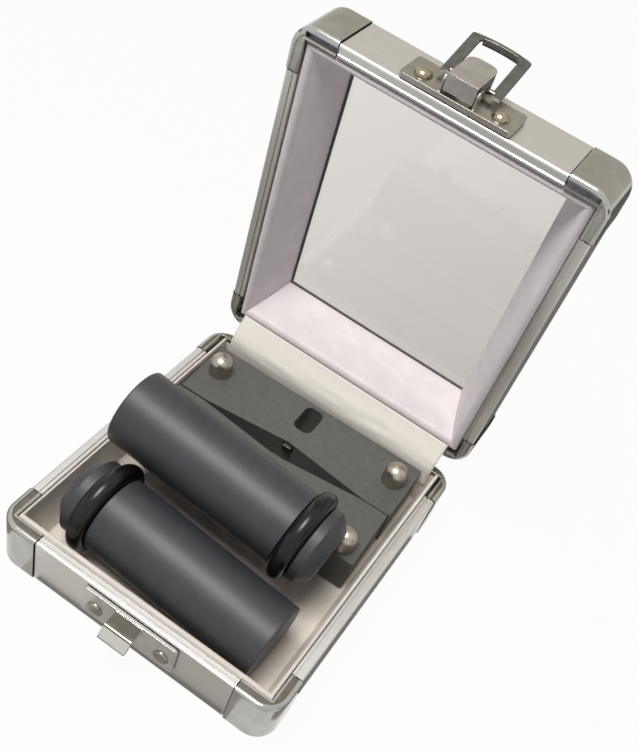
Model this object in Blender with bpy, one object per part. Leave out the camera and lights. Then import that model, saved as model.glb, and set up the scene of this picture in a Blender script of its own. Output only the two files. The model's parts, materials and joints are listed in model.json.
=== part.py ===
"""Tube testing kit in a small aluminium case with a clear lid.

Frame: origin at the centre of the case's underside, +X along the front edge, +Y to the hinge, +Z up.
Every length below is in millimetres; meshes are scaled to metres when they become objects.
The lid is modelled shut, about the hinge axis, and stands open because its parent empty is turned.
"""
import math

import bmesh
import bpy
from mathutils import Matrix, Vector

MM = 0.001
GAP = 0.3

# Case
CASE_WIDTH = 100.0
CASE_DEPTH = 113.0
BASE_HEIGHT = 19.3
LID_HEIGHT = 18.7
CORNER_LENGTH = 14.0
LID_HINGE_CORNER_LENGTH = 12.0
CORNER_RADIUS = 7.0
CORNER_INNER_RADIUS = 0.6
CORNER_PROUD = 0.5
CORNER_STEPS = 6

# Wall rails and castings
RAIL_WEB = 1.3
RAIL_FLANGE = 1.2
FOOT_WIDTH = 3.6
FOOT_BEVEL = 0.6
RIM_WIDTH = 3.9
HINGE_RIM_WIDTH = 3.0
RIM_BEVEL = 1.0
RIM_BEVEL_MIDDLE = 0.3
RIM_GROOVE = (2.4, 2.55, 2.85, 3.0)
RIM_GROOVE_DEPTH = 0.45
RIM_BEAD_ROUND = 0.25
CASTING_FLANGE = 1.6
CASTING_RISE = 0.2
CASTING_FOOT = (0.3, 0.8)
CASTING_SHOULDER = (1.4, 0.4, 0.9)

# Panels and lining
PANEL_INSET = 2.1
PANEL_CHAMFER = 4.5
PAN_FIELD_INSET = 3.9
PAN_THICKNESS = 1.0
PAN_LIP_LOW = 1.7
PAN_LIP_HIGH = 2.4
FLOOR_PAD_LOW = 1.3
FLOOR_PAD_HIGH = 2.4
LINING_INSET = 4.1
SIDE_LINING = 0.8
RIGHT_LINING = 2.6
FRONT_LINING = 2.2
BACK_LINING_INSET = 2.1
LINING_LOW = 2.7
WINDOW_LOW = 1.5
WINDOW_HIGH = 3.5
LID_LINING_LOW = 3.8
LID_LINING_RIM = 5.2
LID_LINING_DROP = 0.6
WINDOW_SIDE_INSET = 13.8
WINDOW_FRONT_INSET = 11.5
WINDOW_BACK_INSET = 17.0

# Hinge
HINGE_Y = 59.6
HINGE_Z = 19.1
LID_RIM = 0.4
LID_OPEN_DEG = 88.9
LEAF_THICKNESS = 0.9
LEAF_OFFSET = 2.35
LEAF_HALF_LENGTH = 35.0
LEAF_REACH = 10.1
LEAF_STRAP = 3.1
KNUCKLES = 5
KNUCKLE_GAP = 0.2
KNUCKLE_STEPS = 12
KNUCKLE_WRAP = 1.5
PIN_RADIUS = 1.6
PIN_OVERHANG = 1.0
HINGE_RIVETS = 3
HINGE_RIVET_SPACING = 26.0
HINGE_RIVET_HEAD = (1.7, 0.9)

# Latch, in its own frame: x along the lid, v away from the rim, h off the lid's front wall
LATCH_X = 0.0
LATCH_PLATE = (17.3, 0.0, 12.0)
LATCH_PLATE_SHEET = 1.6
LATCH_SHEET = 1.0
PLATE_CORNER_RADIUS = 1.0
EAR_INNER = 4.9
EAR_OUTER = 5.5
EAR_OUTLINE = ((0.8, 1.0), (4.6, 1.0), (4.6, 5.4), (3.8, 6.4), (1.6, 6.4), (0.8, 5.4))
LEVER_AXIS = (2.6, 4.7)
LEVER_HALF_WIDTH = 4.6
LEVER_SPAN = (0.8, 15.2)
LEVER_HEIGHT = (2.8, 7.6)
LEVER_WALL = 1.2
LEVER_MOUTH = 1.6
LEVER_END_RADIUS = 3.0
LEVER_PIN_RADIUS = 0.7
LEVER_PIN_REACH = 5.6
BORE_REACH = 8.0
BAIL_AXIS = (9.7, 3.7)
BAIL_RAISE_DEG = 15.0
BAIL_OUTER = 9.4
BAIL_INNER = 6.1
BAIL_LENGTH = 17.2
BAIL_BAR = 1.4
BAIL_LIP = 2.2
BAIL_TAIL = 1.5
BAIL_BEND = 1.2
BAIL_PIVOT_RADIUS = 0.85
BAIL_PIVOT_SPAN = (3.7, 7.2)
RIVET_SPACING = 12.1
LATCH_RIVET_V = 4.7
LATCH_RIVET_HEAD = (2.8, 1.8)
KEEPER_X = 0.3
KEEPER_HALF_WIDTH = 16.7
KEEPER_LOW = 5.5
KEEPER_HIGH = 18.3
KEEPER_RIVET_Z = 10.4
KEEPER_RIVET_HEAD = (2.7, 1.2)
HOOK_X = (-4.7, 5.0)
HOOK_PROFILE = ((57.4, 17.8), (62.6, 17.2), (63.4, 16.8), (65.6, 14.4), (65.9, 13.6),
                (64.9, 13.3), (62.9, 15.7), (62.4, 16.0), (57.4, 16.5))

# Jaw plates
JAW_LENGTH = 85.0
JAW_WIDTH = 25.0
JAW_LOW = 2.7
JAW_HIGH = 17.3
JAW_CHAMFER = 0.5
NOTCH_HALF = 32.0
NOTCH_DEPTH = 3.8
JAW_1_CENTRE = (-2.0, 39.2)
JAW_2_CENTRE = (-2.0, 13.7)
JAW_1_TURN_DEG = 1.6
JAW_2_TURN_DEG = 1.8
SLOT_WIDTH = 7.0
SLOT_LENGTH = 12.2
SLOT_RADIUS = 2.6
SLOT_Y = 4.6
PEG_X = 36.0
JAW_1_PEG_Y = 1.5
JAW_2_PEG_Y = 7.6
PEG_RADIUS = 4.0
PEG_RISE = 8.2
PEG_CROWN = ((0.0, 3.4), (0.25, 2.1), (0.95, 0.95), (2.1, 0.25), (3.4, 0.0))
PEG_SHANK_RADIUS = 2.3
PEG_SHANK_DEPTH = 9.0
CONTACT_HALF = 1.7
CONTACT_CORNER = 0.5
CONTACT_HEIGHT = (13.2, 16.2)
CONTACT_PROUD = 1.6
CONTACT_DEPTH = 5.0

# Sealing plugs
PLUG_RADIUS = 13.0
PLUG_LENGTH = 75.5
RING_STATION = 65.4
RING_SECTION = 3.0
PLUG_NOSE = (4.0, 3.6)
PLUG_EDGE = 0.4
PLUG_1_END = (-40.5, -7.4, 35.5)
PLUG_1_AIM_DEG = (-1.0, -4.5)
PLUG_2_END = (36.2, -36.1, 15.9)
PLUG_2_AIM_DEG = (177.4, 2.8)

# Hinge cover strip, as (y, z) along its middle
STRIP_HALF_WIDTH = 43.0
STRIP_THICKNESS = 0.8
STRIP_ROUTE = ((53.7, 20.2), (54.6, 21.6), (56.4, 24.3), (58.2, 26.6), (59.5, 28.3))

HALF_W = CASE_WIDTH / 2
HALF_D = CASE_DEPTH / 2
ROUND_SIDES = 32
SMALL_SIDES = 16
SECTION_SIDES = 12
CUT_OVER = 1.0
CONTACT_CUT_OVER = 3.0
SHARP_DEG = 35.0


def clear_scene():
    for item in list(bpy.data.objects):
        bpy.data.objects.remove(item)


def linear(channel):
    return channel / 12.92 if channel <= 0.04045 else ((channel + 0.055) / 1.055) ** 2.4


def finish(name, hex_colour, roughness, metallic=0.0, alpha=1.0):
    """A Principled material from an sRGB hex colour."""
    material = bpy.data.materials.new(name)
    material.use_nodes = True
    shader = material.node_tree.nodes["Principled BSDF"]
    rgb = [linear(int(hex_colour[i:i + 2], 16) / 255) for i in (0, 2, 4)]
    shader.inputs["Base Color"].default_value = (*rgb, 1.0)
    shader.inputs["Roughness"].default_value = roughness
    shader.inputs["Metallic"].default_value = metallic
    shader.inputs["Alpha"].default_value = alpha
    return material


def add_empty(name, place, parent=None, turn_x_deg=0.0):
    empty = bpy.data.objects.new(name, None)
    empty.location = Vector(place) * MM
    empty.rotation_euler.x = math.radians(turn_x_deg)
    empty.parent = parent
    bpy.context.collection.objects.link(empty)
    return empty


def add_piece(name, mesh_data, material, parent=None, smooth=False):
    """Turn a bmesh in millimetres, given in its parent's space, into an object."""
    bmesh.ops.recalc_face_normals(mesh_data, faces=mesh_data.faces)
    mesh = bpy.data.meshes.new(name)
    mesh_data.to_mesh(mesh)
    mesh_data.free()
    mesh.transform(Matrix.Scale(MM, 4))
    mesh.materials.append(material)
    if smooth:
        mesh.shade_smooth()
        mesh.set_sharp_from_angle(angle=math.radians(SHARP_DEG))
    piece = bpy.data.objects.new(name, mesh)
    piece.parent = parent
    bpy.context.collection.objects.link(piece)
    return piece


def join_shape(piece, mesh_data, operation):
    """Union or cut a hidden helper shape, given in the piece's parent space, with the piece."""
    helper = add_piece(piece.name + "_" + operation.lower(), mesh_data, piece.data.materials[0], piece.parent)
    helper.hide_render = True
    helper.display_type = "WIRE"
    step = piece.modifiers.new(operation.title(), "BOOLEAN")
    step.operation = operation
    step.object = helper
    step.solver = "EXACT"


def merge(*shapes):
    """One bmesh holding several separate closed shapes."""
    whole = bmesh.new()
    for shape in shapes:
        mesh = bpy.data.meshes.new("merge")
        bmesh.ops.recalc_face_normals(shape, faces=shape.faces)
        shape.to_mesh(mesh)
        shape.free()
        whole.from_mesh(mesh)
        bpy.data.meshes.remove(mesh)
    return whole


def moved(shape, matrix):
    bmesh.ops.transform(shape, matrix=matrix, verts=shape.verts)
    return shape


def skin(rings, close=False):
    """Closed body through rings of equal point counts, with end caps unless the rings form a loop."""
    body = bmesh.new()
    rows = [[body.verts.new(point) for point in ring] for ring in rings]
    count = len(rows[0])
    spans = list(zip(rows, rows[1:]))
    if close:
        spans.append((rows[-1], rows[0]))
    for low, high in spans:
        for i in range(count):
            j = (i + 1) % count
            body.faces.new((low[i], low[j], high[j], high[i]))
    if not close:
        body.faces.new(list(reversed(rows[0])))
        body.faces.new(rows[-1])
    return body


def prism(outline, low, high, place=lambda a, b, c: (a, b, c)):
    """Outline in two directions, extruded along the third; place maps the three to x, y and z."""
    return skin([[place(a, b, level) for a, b in outline] for level in (low, high)])


def box(low, high):
    corners = [(low[0], low[1]), (high[0], low[1]), (high[0], high[1]), (low[0], high[1])]
    return prism(corners, low[2], high[2])


def along_x(y, z, x):
    return (x, y, z)


def along_y(x, z, y):
    return (x, y, z)


def cylinder_x(x0, x1, y, z, radius, sides=SMALL_SIDES):
    angles = [2 * math.pi * i / sides for i in range(sides)]
    outline = [(y + radius * math.cos(a), z + radius * math.sin(a)) for a in angles]
    return prism(outline, x0, x1, along_x)


def turned(profile, sides):
    """Solid of revolution about Z from (radius, z) points, both ends closed flat."""
    angles = [2 * math.pi * i / sides for i in range(sides)]
    return skin([[(r * math.cos(a), r * math.sin(a), z) for a in angles] for r, z in profile])


def ring_body(major, minor, sides, section_sides):
    """Torus about Z at the origin."""
    rings = []
    for i in range(sides):
        a = 2 * math.pi * i / sides
        ring = []
        for j in range(section_sides):
            b = 2 * math.pi * j / section_sides
            r = major + minor * math.cos(b)
            ring.append((r * math.cos(a), r * math.sin(a), minor * math.sin(b)))
        rings.append(ring)
    return skin(rings, close=True)


def rounded_rectangle(x0, x1, y0, y1, radius, steps=4):
    points = []
    centres = ((x1 - radius, y1 - radius), (x0 + radius, y1 - radius),
               (x0 + radius, y0 + radius), (x1 - radius, y0 + radius))
    for quarter, (cx, cy) in enumerate(centres):
        for i in range(steps + 1):
            a = math.pi / 2 * (quarter + i / steps)
            points.append((cx + radius * math.cos(a), cy + radius * math.sin(a)))
    return points


def chamfered_rectangle(half_x, half_y, chamfer):
    return [(half_x - chamfer, -half_y), (half_x, chamfer - half_y), (half_x, half_y - chamfer),
            (half_x - chamfer, half_y), (chamfer - half_x, half_y), (-half_x, half_y - chamfer),
            (-half_x, chamfer - half_y), (chamfer - half_x, -half_y)]


def rivet_head(radius, rise):
    """Domed head standing on Z = 0."""
    profile = [(radius, 0.0), (radius, 0.25 * rise)]
    for i in range(1, 4):
        a = math.radians(25 * i)
        profile.append((radius * math.cos(a), 0.25 * rise + 0.75 * rise * math.sin(a)))
    return turned(profile, SMALL_SIDES)


def rail_section(height, rim_width, beaded):
    """Wall rail cross-section as (inward, height), from the outer foot round to the inner foot."""
    top = height
    section = [(FOOT_BEVEL, 0.0), (0.0, FOOT_BEVEL), (0.0, top - RIM_BEVEL),
               (RIM_BEVEL_MIDDLE, top - RIM_BEVEL_MIDDLE), (RIM_BEVEL, top)]
    if beaded:
        start, left, right, end = RIM_GROOVE
        section += [(start, top), (left, top - RIM_GROOVE_DEPTH), (right, top - RIM_GROOVE_DEPTH), (end, top)]
    section += [(rim_width - RIM_BEAD_ROUND, top), (rim_width, top - RIM_BEAD_ROUND),
                (rim_width, top - RAIL_FLANGE), (RAIL_WEB, top - RAIL_FLANGE), (RAIL_WEB, RAIL_FLANGE),
                (FOOT_WIDTH, RAIL_FLANGE), (FOOT_WIDTH, 0.0)]
    return section


def casting_section(height, rim_width):
    """Corner casting cross-section, standing a little proud of the rails."""
    top = height + CASTING_RISE
    foot_in, foot_high = CASTING_FOOT
    shoulder_low, shoulder_high, shoulder_in = CASTING_SHOULDER
    return [(foot_in, 0.0), (-CORNER_PROUD, foot_high), (-CORNER_PROUD, top - shoulder_low),
            (0.0, top - shoulder_high), (shoulder_in, top), (rim_width, top),
            (rim_width, top - CASTING_FLANGE), (RAIL_WEB, top - CASTING_FLANGE),
            (RAIL_WEB, RAIL_FLANGE), (FOOT_WIDTH, RAIL_FLANGE), (FOOT_WIDTH, 0.0)]


def straight_station(point, out):
    """Plan point at a given inward distance from one place on a straight wall."""
    return lambda inward: (point[0] - inward * out[0], point[1] - inward * out[1])


def corner_station(side_x, side_y, angle):
    """The same on a corner: round outside and nearly square along the inner edges."""
    def place(inward):
        radius = CORNER_RADIUS - inward if inward <= RAIL_WEB else CORNER_INNER_RADIUS
        x = HALF_W - inward - radius + radius * math.sin(angle)
        y = HALF_D - inward - radius + radius * math.cos(angle)
        return (side_x * x, side_y * y)
    return place


def corner_path(side_x, side_y, length_x, length_y):
    """Stations from the end wall, round one corner, to the side wall."""
    stations = [straight_station((side_x * (HALF_W - length_x), side_y * HALF_D), (0, side_y))]
    for i in range(CORNER_STEPS + 1):
        stations.append(corner_station(side_x, side_y, math.pi / 2 * i / CORNER_STEPS))
    stations.append(straight_station((side_x * HALF_W, side_y * (HALF_D - length_y)), (side_x, 0)))
    return stations


def sweep(section, stations, place):
    return skin([[place(*station(u), v) for u, v in section] for station in stations])


def base_place(x, y, v):
    return (x, y, v)


def lid_place(x, y, v):
    """Lid space: origin on the hinge axis, lid shut; v runs from the lid's outer side to its rim."""
    return (x, y - HINGE_Y, LID_RIM + LID_HEIGHT - v)


def latch_place(x, v, h):
    """Lid space from the latch's own frame."""
    return (x + LATCH_X, -HALF_D - HINGE_Y - h, LID_RIM + v)


def latch_prism(outline, x0, x1):
    """Outline in (v, h) extruded across the latch."""
    return prism(outline, x0, x1, lambda v, h, x: latch_place(x, v, h))


def latch_cylinder(x0, x1, axis, radius):
    angles = [2 * math.pi * i / SMALL_SIDES for i in range(SMALL_SIDES)]
    outline = [(axis[0] + radius * math.cos(a), axis[1] + radius * math.sin(a)) for a in angles]
    return latch_prism(outline, x0, x1)


def build_frame(prefix, height, place, parent, hinge_corner, rail_finish, casting_finish):
    """Four rails and four corner castings of the base or the lid."""
    corner_ends = {-1: CORNER_LENGTH, 1: hinge_corner}
    for label, side_y in (("front", -1), ("back", 1)):
        wide = side_y < 0
        reach = HALF_W - CORNER_LENGTH - GAP
        section = rail_section(height, RIM_WIDTH if wide else HINGE_RIM_WIDTH, wide)
        stations = [straight_station((x, side_y * HALF_D), (0, side_y)) for x in (-reach, reach)]
        add_piece(prefix + "_rail_" + label, sweep(section, stations, place), rail_finish, parent)
    for label, side_x in (("left", -1), ("right", 1)):
        section = rail_section(height, RIM_WIDTH, True)
        ends = (-HALF_D + CORNER_LENGTH + GAP, HALF_D - hinge_corner - GAP)
        stations = [straight_station((side_x * HALF_W, y), (side_x, 0)) for y in ends]
        add_piece(prefix + "_rail_" + label, sweep(section, stations, place), rail_finish, parent)
        for end, side_y in (("front", -1), ("back", 1)):
            rim = RIM_WIDTH if side_y < 0 else HINGE_RIM_WIDTH
            path = corner_path(side_x, side_y, CORNER_LENGTH, corner_ends[side_y])
            casting = sweep(casting_section(height, rim), path, place)
            add_piece(prefix + "_corner_" + end + "_" + label, casting, casting_finish, parent, smooth=True)


def build_base_panels(pan_finish, lining_finish):
    field_x = HALF_W - PAN_FIELD_INSET
    field_y = HALF_D - PAN_FIELD_INSET
    lip_x = HALF_W - PANEL_INSET
    lip_y = HALF_D - PANEL_INSET
    levels = [(field_x, field_y, 0.0), (field_x, field_y, PAN_LIP_LOW), (lip_x, lip_y, PAN_LIP_LOW),
              (lip_x, lip_y, PAN_LIP_HIGH), (field_x - PAN_THICKNESS, field_y - PAN_THICKNESS, PAN_LIP_HIGH),
              (field_x - PAN_THICKNESS, field_y - PAN_THICKNESS, PAN_THICKNESS)]
    rings = [[(x, y, z) for x, y in chamfered_rectangle(hx, hy, PANEL_CHAMFER)] for hx, hy, z in levels]
    add_piece("base_bottom_pan", skin(rings), pan_finish)

    pad_x = field_x - PAN_THICKNESS - GAP
    pad_y = field_y - PAN_THICKNESS - GAP
    pad = prism(chamfered_rectangle(pad_x, pad_y, PANEL_CHAMFER), FLOOR_PAD_LOW, FLOOR_PAD_HIGH)
    add_piece("base_floor_lining", pad, lining_finish)

    outer_x = HALF_W - LINING_INSET
    front_y = -HALF_D + LINING_INSET
    back_y = HALF_D - BACK_LINING_INSET
    top = BASE_HEIGHT - GAP
    back_top = BASE_HEIGHT - CASTING_FLANGE - GAP
    boards = {
        "front": ((-outer_x, front_y, LINING_LOW), (outer_x, front_y + FRONT_LINING, top)),
        "back": ((-outer_x, back_y - SIDE_LINING, LINING_LOW), (outer_x, back_y, back_top)),
        "left": ((-outer_x, front_y + FRONT_LINING + GAP, LINING_LOW),
                 (SIDE_LINING - outer_x, back_y - SIDE_LINING - GAP, top)),
        "right": ((outer_x - RIGHT_LINING, front_y + FRONT_LINING + GAP, LINING_LOW),
                  (outer_x, back_y - SIDE_LINING - GAP, top)),
    }
    for label, (low, high) in boards.items():
        add_piece("base_lining_" + label, box(low, high), lining_finish)


def build_lid_panels(axis, window_finish, lining_finish):
    outline = chamfered_rectangle(HALF_W - PANEL_INSET, HALF_D - PANEL_INSET, PANEL_CHAMFER)
    add_piece("lid_window", prism(outline, WINDOW_LOW, WINDOW_HIGH, lid_place), window_finish, axis)

    rim = LID_HEIGHT - LID_LINING_DROP
    upper = [(LINING_INSET, LINING_INSET, rim), (LID_LINING_RIM, LID_LINING_RIM, rim)]
    lower = [(LINING_INSET, LINING_INSET, LID_LINING_LOW)]
    sections = {-1: upper + [(WINDOW_SIDE_INSET, WINDOW_FRONT_INSET, LID_LINING_LOW)] + lower,
                1: upper + [(WINDOW_SIDE_INSET, WINDOW_BACK_INSET, LID_LINING_LOW)] + lower}
    trim = GAP / 2
    for label, side in (("left", -1), ("right", 1)):
        rings = [[lid_place(side * (HALF_W - ux), end * (HALF_D - uy - trim), v)
                  for ux, uy, v in sections[end]] for end in (-1, 1)]
        add_piece("lid_lining_" + label, skin(rings), lining_finish, axis)
    for label, side in (("front", -1), ("back", 1)):
        rings = [[lid_place(end * (HALF_W - ux - trim), side * (HALF_D - uy), v)
                  for ux, uy, v in sections[side]] for end in (-1, 1)]
        add_piece("lid_lining_" + label, skin(rings), lining_finish, axis)


def hinge_leaf(flip, own_knuckle):
    """Sheet leaf about the hinge axis: flat leaf, straps and rolled knuckles. flip is -1 for the lid."""
    route = [(-LEAF_OFFSET, -flip * LEAF_REACH), (-LEAF_OFFSET, -flip * LEAF_STRAP), (-LEAF_OFFSET, 0.0)]
    for i in range(1, KNUCKLE_STEPS + 1):
        a = math.pi - flip * KNUCKLE_WRAP * math.pi * i / KNUCKLE_STEPS
        route.append((LEAF_OFFSET * math.cos(a), LEAF_OFFSET * math.sin(a)))
    width = 2 * LEAF_HALF_LENGTH / KNUCKLES
    columns = []
    for i in range(KNUCKLES):
        start = -LEAF_HALF_LENGTH + i * width
        columns += [(start + (KNUCKLE_GAP if i else 0.0), i), (start + width - KNUCKLE_GAP, None)]
    columns[-1] = (LEAF_HALF_LENGTH, None)
    sheet = bmesh.new()
    grid = [[sheet.verts.new((x, y, z)) for x, _ in columns] for y, z in route]
    for row in range(len(route) - 1):
        for column in range(len(columns) - 1):
            knuckle = columns[column][1]
            if row == 0 or (knuckle is not None and own_knuckle(knuckle)):
                corners = (grid[row][column], grid[row][column + 1])
                sheet.faces.new((*corners, grid[row + 1][column + 1], grid[row + 1][column]))
    loose = [vert for vert in sheet.verts if not vert.link_faces]
    bmesh.ops.delete(sheet, geom=loose, context="VERTS")
    return sheet


def build_hinge(axis, steel):
    base_axis = add_empty("hinge_line", (0, HINGE_Y, HINGE_Z))
    leaves = (("hinge_leaf_base", base_axis, 1, lambda i: i % 2 == 0),
              ("hinge_leaf_lid", axis, -1, lambda i: i % 2 == 1))
    for name, parent, flip, own in leaves:
        leaf = add_piece(name, hinge_leaf(flip, own), steel, parent, smooth=True)
        wall = leaf.modifiers.new("Sheet", "SOLIDIFY")
        wall.thickness = LEAF_THICKNESS * MM
        wall.offset = 0.0
        wall.use_even_offset = True
        face_y = -LEAF_OFFSET + LEAF_THICKNESS / 2 + GAP
        for number in range(HINGE_RIVETS):
            head = moved(rivet_head(*HINGE_RIVET_HEAD), Matrix.Rotation(-math.pi / 2, 4, "X"))
            x = (number - (HINGE_RIVETS - 1) / 2) * HINGE_RIVET_SPACING
            place = Matrix.Translation((x, face_y, -flip * (LEAF_REACH + LEAF_STRAP) / 2))
            rivet_name = name.replace("leaf", "rivet") + "_" + str(number + 1)
            add_piece(rivet_name, moved(head, place), steel, parent, smooth=True)
    reach = LEAF_HALF_LENGTH + PIN_OVERHANG
    add_piece("hinge_pin", cylinder_x(-reach, reach, 0.0, 0.0, PIN_RADIUS), steel, base_axis, smooth=True)


def build_hinge_cover(fabric):
    """Cloth strip from the base's back rim up to the lid lining, in its standing fold."""
    half = STRIP_THICKNESS / 2
    upper = []
    lower = []
    for i, (y, z) in enumerate(STRIP_ROUTE):
        before = Vector(STRIP_ROUTE[max(i - 1, 0)])
        after = Vector(STRIP_ROUTE[min(i + 1, len(STRIP_ROUTE) - 1)])
        run = (after - before).normalized()
        upper.append((y - half * run.y, z + half * run.x))
        lower.append((y + half * run.y, z - half * run.x))
    outline = upper + lower[::-1]
    add_piece("hinge_cover_strip", prism(outline, -STRIP_HALF_WIDTH, STRIP_HALF_WIDTH, along_x), fabric)


def build_latch(lid_axis, plated, rivet_finish):
    half, low, high = LATCH_PLATE
    outline = rounded_rectangle(-half, half, low, high, PLATE_CORNER_RADIUS)
    face = GAP + LATCH_PLATE_SHEET
    plate = add_piece("latch_plate", prism(outline, GAP, face, latch_place), plated, lid_axis)
    ears = [latch_prism(EAR_OUTLINE, *sorted((side * EAR_INNER, side * EAR_OUTER))) for side in (-1, 1)]
    join_shape(plate, merge(*ears), "UNION")
    pin_bore = latch_cylinder(-BORE_REACH, BORE_REACH, LEVER_AXIS, LEVER_PIN_RADIUS + GAP)
    join_shape(plate, pin_bore, "DIFFERENCE")

    for label, side in (("left", -1), ("right", 1)):
        head = moved(rivet_head(*LATCH_RIVET_HEAD), Matrix.Rotation(math.pi / 2, 4, "X"))
        place = latch_place(side * RIVET_SPACING, LATCH_RIVET_V, face + GAP)
        head = moved(head, Matrix.Translation(place))
        add_piece("latch_rivet_" + label, head, rivet_finish, lid_axis, smooth=True)

    lever_axis_place = latch_place(0, *LEVER_AXIS)
    lever_axis = add_empty("lever_axis", lever_axis_place, lid_axis)
    to_axis = Matrix.Translation(-Vector(lever_axis_place))
    half = LEVER_HALF_WIDTH
    start, end = LEVER_SPAN
    low, high = LEVER_HEIGHT
    rounded = rounded_rectangle(-half, half, start - LEVER_END_RADIUS, end, LEVER_END_RADIUS)
    outline = [(x, max(v, start)) for x, v in rounded[:10]]
    outline += [(-half, start), (half, start)]
    hood = moved(prism(outline, low, high, latch_place), to_axis)
    lever = add_piece("latch_lever", hood, plated, lever_axis)
    hollow_sides = ((start + LEVER_WALL, low - CUT_OVER), (end + CUT_OVER, low - CUT_OVER),
                    (end + CUT_OVER, low + LEVER_MOUTH), (end - LEVER_WALL, high - LEVER_WALL),
                    (start + LEVER_WALL, high - LEVER_WALL))
    inner = half - LEVER_WALL
    join_shape(lever, moved(latch_prism(hollow_sides, -inner, inner), to_axis), "DIFFERENCE")
    bores = merge(latch_cylinder(-BORE_REACH, BORE_REACH, LEVER_AXIS, LEVER_PIN_RADIUS + GAP),
                  latch_cylinder(-BORE_REACH, BORE_REACH, BAIL_AXIS, BAIL_PIVOT_RADIUS + GAP))
    join_shape(lever, moved(bores, to_axis), "DIFFERENCE")
    pin = latch_cylinder(-LEVER_PIN_REACH, LEVER_PIN_REACH, LEVER_AXIS, LEVER_PIN_RADIUS)
    add_piece("latch_lever_pin", pin, plated, lid_axis, smooth=True)

    bail_axis_place = Vector(latch_place(0, *BAIL_AXIS)) - Vector(lever_axis_place)
    bail_axis = add_empty("bail_axis", bail_axis_place, lever_axis, BAIL_RAISE_DEG)
    outer = BAIL_OUTER
    inner = BAIL_INNER
    frame = [(outer, -BAIL_TAIL), (outer, BAIL_LENGTH - BAIL_BEND), (outer - BAIL_BEND, BAIL_LENGTH),
             (BAIL_BEND - outer, BAIL_LENGTH), (-outer, BAIL_LENGTH - BAIL_BEND), (-outer, -BAIL_TAIL),
             (-inner, -BAIL_TAIL), (-inner, BAIL_LENGTH - BAIL_BAR), (inner, BAIL_LENGTH - BAIL_BAR),
             (inner, -BAIL_TAIL)]
    sheet = prism(frame, -LATCH_SHEET / 2, LATCH_SHEET / 2, along_y)
    bail = add_piece("latch_bail", sheet, plated, bail_axis)
    lip_half = outer - BAIL_BEND
    bent = [box((-lip_half, 0.0, BAIL_LENGTH - LATCH_SHEET), (lip_half, BAIL_LIP, BAIL_LENGTH))]
    for side in (-1, 1):
        x0, x1 = sorted(side * reach for reach in BAIL_PIVOT_SPAN)
        bent.append(cylinder_x(x0, x1, 0.0, 0.0, BAIL_PIVOT_RADIUS))
    join_shape(bail, merge(*bent), "UNION")


def build_keeper(plated, rivet_finish):
    outline = rounded_rectangle(KEEPER_X - KEEPER_HALF_WIDTH, KEEPER_X + KEEPER_HALF_WIDTH,
                                KEEPER_LOW, KEEPER_HIGH, PLATE_CORNER_RADIUS)
    face = -HALF_D - GAP
    keeper = add_piece("keeper_plate", prism(outline, face - LATCH_SHEET, face, along_y), plated)
    hook = [(-out, z) for out, z in HOOK_PROFILE]
    join_shape(keeper, prism(hook, HOOK_X[0], HOOK_X[1], along_x), "UNION")
    for label, side in (("left", -1), ("right", 1)):
        head = moved(rivet_head(*KEEPER_RIVET_HEAD), Matrix.Rotation(math.pi / 2, 4, "X"))
        place = (KEEPER_X + side * RIVET_SPACING, face - LATCH_SHEET - GAP, KEEPER_RIVET_Z)
        head = moved(head, Matrix.Translation(place))
        add_piece("keeper_rivet_" + label, head, rivet_finish, smooth=True)


def jaw_outline(notch_side):
    """Plate outline with chamfered corners and a shallow V notch along one long edge."""
    half_x = JAW_LENGTH / 2
    half_y = JAW_WIDTH / 2
    outline = chamfered_rectangle(half_x, half_y, JAW_CHAMFER)
    outline += [(-NOTCH_HALF, -half_y), (0.0, NOTCH_DEPTH - half_y), (NOTCH_HALF, -half_y)]
    return [(x, -notch_side * y) for x, y in outline]


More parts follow.
